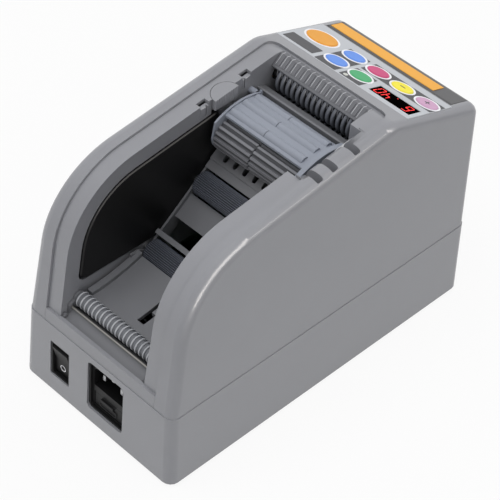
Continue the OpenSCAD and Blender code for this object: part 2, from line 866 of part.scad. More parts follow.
module bay_floor() color(floor_grey) difference() {
    union() {
        across(-floor_x, 2 * floor_x) floor_front_2d(0, floor_t);
        both_sides() {
            across(floor_x - kerb_w, kerb_w) floor_front_2d(kerb_h, floor_t);
            across(floor_x - stringer_t, stringer_t) difference() {
                stringer_2d();
                spot(idler_a, axle_d + 2 * run_gap);
                spot(idler_b, axle_d + 2 * run_gap);
            }
        }
        across(stringer_t / 2 - floor_x, 2 * floor_x - stringer_t) {
            ramp_lip_2d(roller_room + 0.6);
            ramp_plate(ramp_start, idler_span - roller_room, -1);
            ramp_plate(idler_span + roller_room, foot_s + 1, tail_face - ramp_drop);
            polygon([tail(0, 0), tail(tail_end, 0), tail(tail_end, -floor_t), tail(0, -floor_t)]);
        }
    }
    for (i = [0:ramp_holes - 1]) translate([(i - (ramp_holes - 1) / 2) * ramp_hole_pitch, 0, 0])
        translate([0, tail(tail_hole_s, 0)[0], tail(tail_hole_s, 0)[1]])
            rotate([tail_angle, 0, 0]) ramp_hole();
    translate([cutout[0], cutout[1], ledge_h]) {
        cube([cutout_w, 0.45 * cutout_l, cutout_l]);
        cube([0.4 * cutout_w, cutout_l, cutout_l]);
    }
}

// Concave tray from the ledge up to the rod, and its shelf under the guide roller
module tray_2d() {
    rise = rod[1] - 0.6 - ledge_h;
    hollow = [
        for (i = [0:tray_steps])
            let (turn = 90 * i / tray_steps)
            [tray_y + (rod[0] - tray_y) * sin(turn), ledge_h - 0.4 + rise * (1 - cos(turn))]
    ];
    shelf_end = floor_a[0] + 1;
    polygon(concat([[tray_y, tray_low]], hollow, [[rod[0] + 1.6, rod[1] - 1.4], [guide[0], ledge_h],
                                                  [shelf_end, ledge_h], [shelf_end, tray_low]]));
}

// Ear that holds the guide roller's axle and the rod
module ear_2d() difference() {
    union() {
        spot(guide, guide_axle_d + 4);
        polygon([guide + [-3.5, 0], guide + [3.5, 0], [guide[0] + 4, ledge_h - 2], [rod[0] - 2, ledge_h - 2],
                 rod + [-1.8, 1.8]]);
    }
    spot(guide, guide_axle_d + 2 * run_gap);
    spot(rod, rod_d + 2 * run_gap);
}

module lip_tray() color(floor_grey) {
    half = bay_x - ear_gap;
    across(-half, 2 * half) difference() {
        tray_2d();
        spot(rod, rod_d + 2 * run_gap);
    }
    both_sides() {
        across(half - ear_t, ear_t) ear_2d();
        block([half - tab_w, tray_y, tray_low], [half, tray_y + tab_w, ledge_h + tab_h]);
    }
}

module lip_rod() color(silver) rod_x(rod, rod_d, -bay_x + ear_gap, bay_x - ear_gap);

module guide_axle() color(steel) rod_x(guide, guide_axle_d, -bay_x + ear_gap, bay_x - ear_gap);

module guide_roller() color(silver) {
    half = bay_x - ear_gap - ear_t - slide_gap;
    ringed_roller(guide, guide_d, guide_d / 2 - guide_core, half, guide_rings, guide_ring,
                  guide_axle_d + 2 * run_gap);
}

module idler_axles() color(steel) {
    rod_x(idler_a, axle_d, -frame_x - frame_t, frame_x + frame_t);
    rod_x(idler_b, axle_d, -frame_x - frame_t, frame_x + frame_t);
}

// Fluted idler with rounded ends
module idler(p) translate([0, p[0], p[1]]) intersection() {
    half = roller_x - clear;
    profile = [[0, -half], [0, half], [idler_d / 2, half], [idler_d / 2, -half]];
    across(-half, 2 * half) fluted_2d(idler_d, idler_flutes, idler_flute_r, axle_d + 2 * run_gap);
    rotate([0, 90, 0]) rotate_extrude()
        polygon(rounded(profile, [0, 0, idler_round, idler_round], [0, 0, 4, 4]));
}

module front_idler() color(trim_dark) idler(idler_a);

module rear_idler() color(trim_dark) idler(idler_b);

// Frame

module frame_plate() across(frame_x, frame_t) difference() {
    intersection() {
        union() {
            side_region(frame_in);
            intersection() {
                side_region(frame_in_rear);
                translate([holder_pivot[0] - 7, ledge_h]) square(reach);
            }
        }
        union() {
            translate([frame_front, ledge_h - 11]) square([frame_end - frame_front, reach]);
            translate([frame_leg, foot_h + wall]) square([frame_end - frame_leg, reach]);
        }
    }
    spot(idler_a, axle_d + 2 * run_gap);
    spot(idler_b, axle_d + 2 * run_gap);
    spot(feed, shaft_d + 2 * bush_t);
    spot(lower, shaft_d + 2 * bush_t);
    for (p = tie_places) spot(p, tie_d);
    for (h = frame_holes) spot([h[0], h[1]], h[2]);
}

module left_frame() color(steel) mirror([1, 0, 0]) frame_plate();

module right_frame() color(steel) difference() {
    frame_plate();
    rod_x(motor, nose_d + 2 * fit_gap, frame_x - 1, frame_x + frame_t + 1);
    rod_x(transfer, stud_d, frame_x - 1, frame_x + frame_t + 1);
    rod_x(holder_pivot, pivot_d + 2 * run_gap, frame_x - 1, frame_x + frame_t + 1);
}

module tie_rods() color(steel) for (p = tie_places) rod_x(p, tie_d, -frame_x - frame_t, frame_x + frame_t);

// Roller holder

module cheek_2d() {
    spot(press, press_d - 0.8);
    spot(holder_pivot, 2 * pivot_boss_r);
    intersection() {
        spot(arc_mid, 2 * cheek_r);
        polygon([press + [-press_d / 2 + 0.6, -1], press + [-press_d / 2 + 0.6, press_d],
                 [web_rear, crest_h], [web_rear, holder_pivot[1] - 1], holder_pivot + [1, -pivot_boss_r],
                 press + [4, -press_d / 2 + 1.6]]);
    }
}

module web_room_2d() difference() {
    translate([web_front, press[1]]) square([web_rear - web_front, reach]);
    spot(press, press_d + 2 * slide_gap);
}

// Arched web between the cheeks
module web_2d() intersection() {
    difference() {
        spot(arc_mid, 2 * web_r);
        spot(arc_mid, 2 * (web_r - web_t));
    }
    web_room_2d();
}

// Broad waves on the web
module waves_2d() intersection() {
    for (i = [0:wave_count - 1]) {
        turn = wave_first - wave_turn * i;
        spot(arc_mid + (web_r - wave_sink) * [cos(turn), sin(turn)], 2 * wave_r);
    }
    web_room_2d();
}

// The right cheek lies in the rim's recess, the left one beside the release button
module roller_holder() color(holder_blue) {
    difference() {
        for (x = [cheek_left, web_x[1]]) across(x, cheek_t) cheek_2d();
        rod_x(press, press_axle_d, cheek_left - 1, cheek_right + 1);
    }
    across(web_x[0], web_x[1] - web_x[0]) web_2d();
    across(web_x[0] + wave_start, -web_x[0] - wave_start - split_w / 2) waves_2d();
    across(split_w / 2, web_x[1] - wave_stop - split_w / 2) waves_2d();
    rod_x(holder_pivot, pivot_d, -bay_x - liner_t + clear, cheek_left + 1);
    rod_x(holder_pivot, pivot_d, cheek_right - 1, frame_x + frame_t - clear);
}

module press_axle() color(steel) rod_x(press, press_axle_d, cheek_left, cheek_right);

// Two fluted halves, one turned a little against the other, on one core
module press_roller() color(trim_dark) {
    bore = press_axle_d + 2 * run_gap;
    left = web_x[0] + slide_gap;
    right = web_x[1] - slide_gap;
    across(left, -clear - left) translate(press) fluted_2d(press_d, press_flutes, press_flute_r, bore);
    across(clear, right - clear) translate(press) rotate(press_offset)
        fluted_2d(press_d, press_flutes, press_flute_r, bore);
    across(-clear, 2 * clear) translate(press) difference() {
        circle(d = press_d - 2.4 * press_flute_r);
        circle(d = bore);
    }
}

module release_button() color(body_grey) intersection() {
    translate([0, 0, latch_z - latch_deep]) linear_extrude(2 * latch_deep) difference() {
        latch_2d(latch_r, -latch_x);
        for (i = [0:rib_count - 1])
            spot([-latch_x, latch_y + (i - (rib_count - 1) / 2) * rib_pitch], rib_d, $fn = 16);
    }
    across(-reach / 2, reach) side_region(rim_d);
}

module latch_posts() color(body_grey) difference() {
    intersection() {
        post_cuts(0);
        across(-frame_x + 0.2, frame_x - bay_x) side_region(rim_d + 2);
    }
    post_slits();
}

// Feed

module stripper_bar() color(floor_grey) across(-bay_x + fit_gap, 2 * (bay_x - fit_gap))
    polygon([[bar_y[0], bar_z[0] + 0.5], [bar_y[0], bar_z[1] + 1.8], [bar_y[0] + 1, bar_z[1] + 2.2],
             [bar_y[1], bar_z[1]], [bar_y[1], bar_z[0]]]);

// Sloping face over the feed roller, up to the crest, clear of the roller's middle by r
module comb_2d(r) difference() {
    intersection() {
        polygon([comb_tip, comb_low, comb_high, [comb_end, crest_h], [comb_end, feed[1] + 9.6],
                 [comb_back, feed[1] + 9.6], [comb_back, feed[1] + 7], feed + [0, 6]]);
        side_region(rim_d + fit_gap);
    }
    spot(feed, 2 * r);
}

// Raised tongue on the sloping face, rounded at its top
module comb_tongue() {
    side = tongue_w / 2;
    corners = [[-side, tongue_start], [-side, tongue_end], [side, tongue_end], [side, tongue_start]];
    translate([0, comb_low[0], comb_low[1]]) rotate([comb_angle, 0, 0]) translate([0, 0, -tongue_rise])
        linear_extrude(2 * tongue_rise) polygon(rounded(corners, [0, tongue_r, tongue_r, 0], [0, 3, 3, 0]));
}

// Face with tongues over the feed roller's rings and fingers between them
module comb_guide() color(body_grey) {
    half = bay_x - ear_gap;
    pitch = 2 * feed_x / feed_rings;
    across(-half, 2 * half) comb_2d(feed_d / 2 + comb_gap);
    for (i = [0:feed_rings]) across((i - feed_rings / 2) * pitch - comb_t / 2, comb_t)
        comb_2d(feed_d / 2 - feed_core + comb_gap);
    for (i = [0:comb_tongues - 1]) translate([(i - (comb_tongues - 1) / 2) * pitch, 0, 0]) comb_tongue();
}

module feed_shaft(p, to) rod_x(p, shaft_d, -frame_x - frame_t, to);

module feed_roller() color(trim_dark) {
    ringed_roller(feed, feed_d, feed_d / 2 - feed_core, feed_x, feed_rings, ring_w, 0);
    feed_shaft(feed, gear_x + gear_w);
}

module lower_feed_roller() color(trim_dark) {
    ringed_roller(lower, lower_d, lower_d / 2 - feed_core, feed_x, feed_rings, ring_w, 0);
    feed_shaft(lower, gear_x + gear_w);
}

module feed_gear() color("white") gear_x_axis(feed, feed_teeth, feed_phase, shaft_d);

module lower_gear() color("white") gear_x_axis(lower, feed_teeth, lower_phase, shaft_d);

module feed_bushes() color("#b08d4c") both_sides() across(frame_x, frame_t) {
    for (p = [feed, lower]) difference() {
        spot(p, shaft_d + 2 * bush_t);
        spot(p, shaft_d + 2 * run_gap);
    }
}

module transfer_stud() color(steel) {
    rod_x(transfer, stud_d, frame_x, gear_x + gear_w + 1);
    rod_x(transfer, stud_d + 3, gear_x + gear_w + clear, gear_x + gear_w + 1.6);
}

module transfer_gear() color("white")
    gear_x_axis(transfer, transfer_teeth, transfer_phase, stud_d + 2 * run_gap);

// Motor can along +Z, with its bored nose below
module motor_can() difference() {
    union() {
        cylinder(d = motor_d, h = motor_l);
        translate([0, 0, -motor_boss]) cylinder(d = nose_d, h = motor_boss);
    }
    translate([0, 0, -shaft_sink]) cylinder(d = motor_shaft_d + 2 * run_gap, h = 2 * shaft_sink + 1);
}

module feed_motor() color(steel) translate([frame_x, motor[0], motor[1]]) rotate([0, -90, 0]) motor_can();

module motor_pinion() color("white") {
    gear_x_axis(motor, pinion_teeth, pinion_phase, motor_shaft_d - 1);
    rod_x(motor, motor_shaft_d, frame_x - shaft_sink, gear_x + gear_w);
}

module tape_chute() color(floor_grey) across(-frame_x, 2 * frame_x)
    polygon([chute_front, chute_end, chute_end - [0, 2], chute_front - [0, 2]]);

// Cutter

module cutter_bracket() color(steel) difference() {
    block([-frame_x, cutter_back - plate_t, cutter[1] - 18], [frame_x, cutter_back, cutter[1] + 16]);
    translate([cutter[0], cutter_back + 1, cutter[1]]) rotate([90, 0, 0])
        cylinder(d = nose_d + 2 * run_gap + clear, h = plate_t + 2);
}

module cutter_motor() color(steel) translate([cutter[0], cutter_back - plate_t, cutter[1]]) rotate([90, 0, 0])
    motor_can();

module cutter_pinion() color("white") {
    translate([cutter[0], blade_y + blade_t, cutter[1]]) rotate([90, 0, 0]) {
        linear_extrude(blade_t) rotate(180 / pinion_teeth) gear_2d(pinion_teeth);
        cylinder(d = motor_shaft_d, h = blade_y + blade_t - cutter_back + plate_t + shaft_sink);
    }
}

// Portal plate with the cutting edge above the tape and a toothed tail below it
module moving_blade_2d() {
    window = blade_x - blade_side;
    difference() {
        translate([-blade_x, blade_low]) square([2 * blade_x, blade_h]);
        polygon([[-window, tape_z - 7], [-window, tape_z + 8.6],
                 [window, tape_z + 7.6], [window, tape_z - 7]]);
    }
    translate([rack_x + tooth_root, rack_low]) square([rack_w, blade_low + 1 - rack_low]);
    for (i = [-1:4]) translate([rack_x, cutter[1] + i * rack_pitch])
        polygon([[tooth_root + 0.1, -tooth_foot], [0, -tooth_mid], [0.1 - tooth_tip, -tooth_top],
                 [0.1 - tooth_tip, tooth_top], [0, tooth_mid], [tooth_root + 0.1, tooth_foot]]);
}

module moving_blade() color(silver) translate([0, blade_y + blade_t, 0]) rotate([90, 0, 0])
    linear_extrude(blade_t) moving_blade_2d();

module fixed_blade() color(silver)
    block([-frame_x, blade_y + blade_t + clear, tape_z - 26],
          [frame_x, blade_y + blade_t + clear + plate_t, tape_z - 1.4]);

module blade_guides() color(trim_dark) both_sides() difference() {
    low = blade_low - blade_stroke - 2;
    high = blade_low + blade_h + 2;
    block([blade_x - 2, frame_end, low], [frame_x + frame_t, blade_y + blade_t + clear, high]);
    block([0, blade_y - clear, low - 1], [blade_x + clear, rear_y, high + 1]);
}

// Blade guard over the outlet

module guard_2d() {
    intersection() {
        difference() {
            side_region(seam_step);
            side_region(seam_step + guard_t);
        }
        translate([crest_y, crest_h]) rotate(-panel_angle) translate([guard_y, -reach / 2]) square(reach);
        translate([crest_y, guard_low]) square(reach);
    }
    translate([crest_y, crest_h]) rotate(-panel_angle) spot([guard_y, -guard_r - seam_step], 2 * guard_r);
}

module blade_guard() color(trim_dark) {
    across(-guard_half, 2 * guard_half) guard_2d();
    both_sides() on_panel() translate([guard_half - 1, guard_y, -guard_r]) rotate([0, 90, 0])
        cylinder(d = guard_pin_d, h = slide_gap + 3.6);
}

module guard_strip() color("#eeb04c") on_panel()
    block([strip_x[0], strip_y[0], 0], [strip_x[1], strip_y[1], strip_t]);

// Control panel

module key_hole(p, w, l) translate(p) polygon(ellipse(w / 2 + clear, l / 2 + clear, key_sides));

module key_holes() {
    key_hole(key_places[0], start_w, start_l);
    for (i = [1:len(key_places) - 1]) key_hole(key_places[i], key_w, key_l);
}

function key_x(i) = last_key_x - key_pitch * i;

module sheet_2d() difference() {
    translate([-panel_half, sheet_start]) square([sheet_w, sheet_l]);
    key_holes();
    translate([display_x, display_y]) square([display_w, display_l], center = true);
    translate([lamp_x, lamp_y]) circle(d = lamp_d + 2 * fit_gap);
}

module panel_sheet() color(silver) on_panel() translate([0, 0, -sheet_t]) linear_extrude(sheet_t) sheet_2d();

// Oval key with a stepped edge and a stem
module key(i, w, l) on_panel() translate(key_places[i]) {
    translate([0, 0, -sheet_t]) linear_extrude(sheet_t + key_rise / 2)
        polygon(ellipse(w / 2, l / 2, key_sides));
    linear_extrude(key_rise) polygon(ellipse(w / 2 - key_step, l / 2 - key_step, key_sides));
    translate([0, 0, -stem_l]) cylinder(d = stem_d, h = stem_l);
}

module start_key() color("#f5a93c") key(0, start_w, start_l);

module near_blue_key() color("#6f9cf0") key(1, key_w, key_l);

module far_blue_key() color("#6f9cf0") key(2, key_w, key_l);

module green_key() color("#58b07c") key(3, key_w, key_l);

module pink_key() color("#dc5f8c") key(4, key_w, key_l);

module yellow_key() color("#f2e34c") key(5, key_w, key_l);

module mauve_key() color("#d5a8cc") key(6, key_w, key_l);

module status_lamp() color("#c9cbbf") on_panel() translate([lamp_x, lamp_y, board_z + board_t])
    cylinder(d = lamp_d, h = -board_z - board_t + 0.3);

module panel_board() color("#1f5c3a") on_panel() {
    block([-panel_half, sheet_start + 1, board_z],
          [panel_half, sheet_start + sheet_l - 1, board_z + board_t]);
    for (p = key_places) translate([p[0] - 3, p[1] - 3, board_z + board_t]) cube([6, 6, tact_h]);
    for (x = [1.2 - panel_half, panel_half - 1.2], y = [4, sheet_l - 4])
        translate([x, sheet_start + y, board_z + board_t])
            cylinder(d = 2.4, h = -board_z - board_t - wall - clear);
}

module display() color("#101012") on_panel() block(
    [display_x - display_w / 2 + fit_gap, display_y - display_l / 2 + fit_gap, board_z + board_t],
    [display_x + display_w / 2 - fit_gap, display_y + display_l / 2 - fit_gap, -0.2]);

// Mains inlet and switch

module inlet_body() color(panel_black) difference() {
    union() {
        slot_y(inlet_x, inlet_z, inlet_w - 2 * fit_gap, inlet_h - 2 * fit_gap, inlet_r - fit_gap,
               face_y - 0.6, face_y + inlet_deep);
        slot_y(inlet_x, inlet_z, inlet_w + 5, inlet_h + 3, inlet_r, flange_y, flange_y + flange_t);
    }
    slot_y(inlet_x, inlet_z, inlet_w - 3, inlet_h - 3, inlet_r - 1.5, front_y, face_y + 1);
    plug_room();
    pin_blocks();
    block([inlet_x - drawer_w / 2 - clear, front_y, drawer_z - drawer_h / 2 - clear],
          [inlet_x + drawer_w / 2 + clear, drawer_end + 1, drawer_z + drawer_h / 2 + clear]);
}

// Cavity that takes the plug, with its two upper corners cut off
module plug_room() {
    side = plug_w / 2;
    top = plug_h / 2;
    translate([inlet_x, face_y + plug_deep, plug_z]) rotate([90, 0, 0]) linear_extrude(2 * plug_deep)
        polygon([[-side, -top], [-side, top - plug_bevel], [plug_bevel - side, top], [side - plug_bevel, top],
                 [side, top - plug_bevel], [side, -top]]);
}

module pin_blocks() for (p = pin_places)
    translate([inlet_x + p[0] - pin[0] / 2, face_y + pin_in, plug_z + p[1] - pin[1] / 2])
        cube([pin[0], inlet_deep + 2, pin[1]]);

module inlet_pins() color(steel) pin_blocks();

module fuse_drawer() color(trim_dark) difference() {
    side = drawer_w / 2;
    union() {
        block([inlet_x - side, drawer_face, drawer_z - drawer_h / 2],
              [inlet_x + side, drawer_end, drawer_z + drawer_h / 2]);
        block([inlet_x - catch_w / 2, face_y - 0.4, catch_z[0]],
              [inlet_x + catch_w / 2, drawer_face + 0.1, catch_z[1]]);
        slot_y(inlet_x, pull_z, pull[0], pull[1], pull[1] / 3, drawer_face - pull_out, drawer_face + 0.1);
    }
    slot_y(inlet_x, pull_z, pull[0] - 2 * pull_rim, pull[1] - 2 * pull_rim, 1, front_y, drawer_face);
    block([inlet_x - side + drawer_wall, drawer_open, drawer_z - drawer_h / 2 + drawer_wall],
          [inlet_x + side - drawer_wall, drawer_end - drawer_wall, drawer_z + drawer_h]);
}

module switch_frame() color(panel_black) difference() {
    union() {
        slot_y(switch_x, switch_z, switch_w - 2 * fit_gap, switch_h - 2 * fit_gap, switch_r - fit_gap,
               face_y - 1.2, face_y + 20);
        slot_y(switch_x, switch_z, switch_w + 4, switch_h + 3, switch_r, flange_y, flange_y + flange_t);
    }
    slot_y(switch_x, switch_z, switch_w - 2 * switch_frame_t, switch_h - 2 * switch_frame_t, switch_r / 2,
           front_y, face_y + 12);
    pin_half = switch_w / 2 - 0.4;
    rod_x([rocker_y, switch_z], rocker_pin_d + 2 * run_gap, switch_x - pin_half, switch_x + pin_half);
}

// Outline of the rocker's upper half, about its pin
function rocker_side(up) = [
    [face_y - rocker_y - 0.6, up * rocker_half],
    [face_y - rocker_y + 1.6, up * (rocker_half + 0.2)],
    [2.5, 3 * up]
];

// The rocker, switched off: its top end stands out
module rocker() color("#1c1d1f") translate([switch_x, rocker_y, switch_z]) rotate([rocker_swing, 0, 0]) {
    pin_half = switch_w / 2 - 0.8;
    low = rocker_side(-1);
    across(-rocker_x, 2 * rocker_x)
        polygon(concat([[face_y - rocker_y + 0.5, 0]], rocker_side(1), [low[2], low[1], low[0]]));
    rod_x([0, 0], rocker_pin_d, -pin_half, pin_half);
}

// Base

module power_board() color("#1f5c3a") {
    top = board_low + board_lift;
    block([-board_x, board_y[0], top], [board_x, board_y[1], top + board_t]);
    both_sides() for (y = [board_y[0] + board_in[1], board_y[1] - board_in[1]])
        translate([board_x - board_in[0], y, board_low]) cylinder(d = board_post_d, h = board_lift + 0.2);
    translate([-transformer[0] / 2, transformer_y, top]) cube(transformer);
    translate([relay_at[0], relay_at[1], top]) cube(relay);
    translate([capacitor_at[0], capacitor_at[1], top]) cylinder(d = capacitor_d, h = capacitor_h);
}

module rubber_feet() color("#202122") foot_places() cylinder(d = foot_d, h = foot_h + 1);

module housing_screws() color(steel) screw_places() translate([0, 0, foot_h + 0.2]) {
    cylinder(d = head_d, h = head_h);
    cylinder(d = screw_d, h = seam_h + screw_bite - foot_h);
}

base_tub();
upper_cover();
bay_liner();
left_side_panel();
right_side_panel();
bay_floor();
lip_tray();
lip_rod();
guide_axle();
guide_roller();
idler_axles();
front_idler();
rear_idler();
left_frame();
right_frame();
tie_rods();
roller_holder();
press_axle();
press_roller();
release_button();
latch_posts();
stripper_bar();
comb_guide();
feed_roller();
feed_gear();
lower_feed_roller();
lower_gear();
feed_bushes();
transfer_stud();
transfer_gear();
feed_motor();
motor_pinion();
tape_chute();
cutter_bracket();
cutter_motor();
cutter_pinion();
moving_blade();
fixed_blade();
blade_guides();
blade_guard();
guard_strip();
panel_sheet();
start_key();
near_blue_key();
far_blue_key();
green_key();
pink_key();
yellow_key();
mauve_key();
status_lamp();
panel_board();
display();
inlet_body();
inlet_pins();
fuse_drawer();
switch_frame();
rocker();
power_board();
rubber_feet();
housing_screws();
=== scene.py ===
"""Looks of an electric tape dispenser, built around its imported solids.

The solids give every place and size. This script copies the ones that show, rounds and smooths them,
adds the small trim that the solids leave out, and gives each surface its finish.
"""

import json
import logging
import math
from dataclasses import dataclass, field
from enum import Enum
from typing import Any, Callable, ClassVar

import bpy
from mathutils import Matrix, Vector

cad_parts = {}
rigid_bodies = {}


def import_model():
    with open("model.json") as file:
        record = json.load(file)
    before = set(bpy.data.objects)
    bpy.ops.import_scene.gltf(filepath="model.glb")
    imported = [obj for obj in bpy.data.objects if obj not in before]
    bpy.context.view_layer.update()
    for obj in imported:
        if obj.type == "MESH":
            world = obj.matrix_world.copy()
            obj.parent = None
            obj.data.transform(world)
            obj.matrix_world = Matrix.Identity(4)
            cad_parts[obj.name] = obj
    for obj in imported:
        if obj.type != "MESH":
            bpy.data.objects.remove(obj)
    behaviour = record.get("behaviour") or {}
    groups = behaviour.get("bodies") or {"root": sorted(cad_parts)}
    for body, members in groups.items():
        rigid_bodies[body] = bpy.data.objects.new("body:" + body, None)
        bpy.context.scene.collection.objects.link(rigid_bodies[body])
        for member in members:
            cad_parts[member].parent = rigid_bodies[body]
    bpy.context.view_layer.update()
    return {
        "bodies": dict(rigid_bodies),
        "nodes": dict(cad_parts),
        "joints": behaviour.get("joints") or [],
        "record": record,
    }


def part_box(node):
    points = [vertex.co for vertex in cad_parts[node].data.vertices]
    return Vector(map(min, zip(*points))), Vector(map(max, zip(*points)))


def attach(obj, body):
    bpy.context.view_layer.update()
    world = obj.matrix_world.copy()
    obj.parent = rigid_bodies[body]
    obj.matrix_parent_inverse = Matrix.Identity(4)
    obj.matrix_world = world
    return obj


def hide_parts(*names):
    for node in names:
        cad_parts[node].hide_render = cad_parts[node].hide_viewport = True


log = logging.getLogger("tape_dispenser")

Rgb = tuple[float, float, float]
Place = tuple[float, float, float]
Span = tuple[float, float]
Reshape = Callable[[bpy.types.Object], None]

MM = 0.001
WHITE: Rgb = (1.0, 1.0, 1.0)
ACROSS = Vector((1.0, 0.0, 0.0))
UPWARD = Vector((0.0, 0.0, 1.0))
FORWARD = Vector((0.0, -1.0, 0.0))


def srgb(red: int, green: int, blue: int) -> Rgb:
    """Turn a display colour into the linear values that a shader takes.

    Args:
        red: Red from 0 to 255.
        green: Green from 0 to 255.
        blue: Blue from 0 to 255.

    Returns:
        The linear colour.
    """
    def linear(value: int) -> float:
        """Linear value of one channel."""
        part = value / 255
        return part / 12.92 if part <= 0.04045 else ((part + 0.055) / 1.055) ** 2.4

    return linear(red), linear(green), linear(blue)


def shade(colour: Rgb, factor: float) -> Rgb:
    """A colour made lighter or darker by a factor."""
    return colour[0] * factor, colour[1] * factor, colour[2] * factor


class Edge(Enum):
    """How far the sharp edges of a copied solid are rounded, in metres."""

    CRISP = 0.0
    FINE = 0.00015
    SOFT = 0.0003
    ROUND = 0.0006


class Signal:
    """A shader socket that takes part in sums."""

    def __init__(self, nodes: "Nodes", socket: bpy.types.NodeSocket) -> None:
        """Keep the socket and the nodes that it belongs to."""
        self.nodes = nodes
        self.socket = socket

    def other(self, output: str | int) -> "Signal":
        """Another output of the same node."""
        return Signal(self.nodes, self.socket.node.outputs[output])

    def _math(self, operation: str, first: Any, second: Any = 0.0) -> "Signal":
        """Add a Math node.

        Args:
            operation: The node's operation.
            first: Its first value or signal.
            second: Its second value or signal.

        Returns:
            The node's result.
        """
        return self.nodes.node("ShaderNodeMath", {"operation": operation}, {0: first, 1: second})

    def __add__(self, other: Any) -> "Signal":
        """Sum."""
        return self._math("ADD", self, other)

    def __radd__(self, other: Any) -> "Signal":
        """Sum, reflected."""
        return self._math("ADD", other, self)

    def __sub__(self, other: Any) -> "Signal":
        """Difference."""
        return self._math("SUBTRACT", self, other)

    def __rsub__(self, other: Any) -> "Signal":
        """Difference, reflected."""
        return self._math("SUBTRACT", other, self)

    def __mul__(self, other: Any) -> "Signal":
        """Product."""
        return self._math("MULTIPLY", self, other)

    def __rmul__(self, other: Any) -> "Signal":
        """Product, reflected."""
        return self._math("MULTIPLY", other, self)

    def __truediv__(self, other: Any) -> "Signal":
        """Quotient."""
        return self._math("DIVIDE", self, other)

    def __rtruediv__(self, other: Any) -> "Signal":
        """Quotient, reflected."""
        return self._math("DIVIDE", other, self)

    def absolute(self) -> "Signal":
        """Absolute value."""
        return self._math("ABSOLUTE", self)

    def root(self) -> "Signal":
        """Square root."""
        return self._math("SQRT", self)

    def fraction(self) -> "Signal":
        """What is left over the whole number below."""
        return self._math("FRACT", self)

    def clamped(self) -> "Signal":
        """The value held between 0 and 1."""
        return self.nodes.node("ShaderNodeClamp", {}, {"Value": self})


class Nodes:
    """The node tree of a material or of the world."""

    def __init__(self, tree: bpy.types.NodeTree, output: str) -> None:
        """Empty a tree and give it an output node.

        Args:
            tree: The tree.
            output: Type of its output node.
        """
        self.tree = tree
        tree.nodes.clear()
        self.output = tree.nodes.new(output)

    def put(self, socket: bpy.types.NodeSocket, value: Any) -> None:
        """Link a signal to a socket, or set its value.

        Args:
            socket: The input socket.
            value: A signal, a number, a vector or a colour.
        """
        if isinstance(value, Signal):
            self.tree.links.new(value.socket, socket)
        elif isinstance(value, tuple) and len(value) == 3 and socket.type == "RGBA":
            socket.default_value = (*value, 1.0)
        else:
            socket.default_value = value

    def node(self, kind: str, settings: dict[str, Any], inputs: dict[Any, Any], output: Any = 0) -> Signal:
        """Add a node.

        Args:
            kind: The node's type.
            settings: Its properties, which are set first.
            inputs: Values or signals by socket.
            output: The socket to hand back.

        Returns:
            The chosen output.
        """
        made = self.tree.nodes.new(kind)
        for key, value in settings.items():
            setattr(made, key, value)
        for key, value in inputs.items():
            self.put(made.inputs[key], value)
        return Signal(self, made.outputs[output])

    def show(self, surface: Signal) -> None:
        """Link a surface or a background to the output."""
        self.put(self.output.inputs["Surface"], surface)

    def seen(self) -> Signal:
        """1 for rays of the camera, in gloss and through glass, and 0 for the rest."""
        camera = self.node("ShaderNodeLightPath", {}, {}, "Is Camera Ray")
        return (camera + camera.other("Is Glossy Ray") + camera.other("Is Transmission Ray")).clamped()

    def swap(self, factor: Signal, first: Signal, second: Signal) -> Signal:
        """Mix two surfaces or backgrounds by the share of the second."""
        return self.node("ShaderNodeMixShader", {}, {0: factor, 1: first, 2: second})


class Shader(Nodes):
    """A material's node tree, with one surface."""

    def __init__(self, name: str) -> None:
        """Make a material with a plain surface.

        Args:
            name: The material's name.
        """
        self.material = bpy.data.materials.new(name)
        self.material.use_nodes = True
        super().__init__(self.material.node_tree, "ShaderNodeOutputMaterial")
        self.surface = self.node("ShaderNodeBsdfPrincipled", {}, {})
        self.show(self.surface)

    def set(self, **inputs: Any) -> None:
        """Set sockets of the surface, with spaces in their names as underscores."""
        for key, value in inputs.items():
            self.put(self.surface.socket.node.inputs[key.replace("_", " ")], value)

    def place(self) -> Signal:
        """Object coordinates."""
        return self.node("ShaderNodeTexCoord", {}, {}, "Object")

    def axes(self, where: Signal) -> tuple[Signal, Signal, Signal]:
        """The three coordinates of a place."""
        x = self.node("ShaderNodeSeparateXYZ", {}, {0: where})
        return x, x.other(1), x.other(2)

    def noise(self, where: Signal, scale: float, detail: float) -> Signal:
        """Smooth noise from about 0 to 1.

        Args:
            where: Coordinates.
            scale: Blotches to a metre.
            detail: Octaves.

        Returns:
            The noise value.
        """
        return self.node("ShaderNodeTexNoise", {}, {"Vector": where, "Scale": scale, "Detail": detail})

    def blend(self, factor: Signal, first: Any, second: Any) -> Signal:
        """Mix two colours.

        Args:
            factor: Share of the second.
            first: Colour or signal.
            second: Colour or signal.

        Returns:
            The mixed colour.
        """
        return self.node("ShaderNodeMix", {"data_type": "RGBA"}, {0: factor, 6: first, 7: second}, 2)

    def varied(self, factor: Signal, colour: Rgb, shades: Span) -> Signal:
        """A colour that varies over the surface.

        Args:
            factor: Share of the second shade.
            colour: The colour.
            shades: Factors of its first and its second shade.

        Returns:
            The varied colour.
        """
        return self.blend(factor, shade(colour, shades[0]), shade(colour, shades[1]))

    def bump(self, height: Signal, depth: float) -> Signal:
        """A normal from a height of 0 to 1 and its depth in metres."""
        return self.node("ShaderNodeBump", {}, {"Height": height, "Distance": depth, "Strength": 1.0})


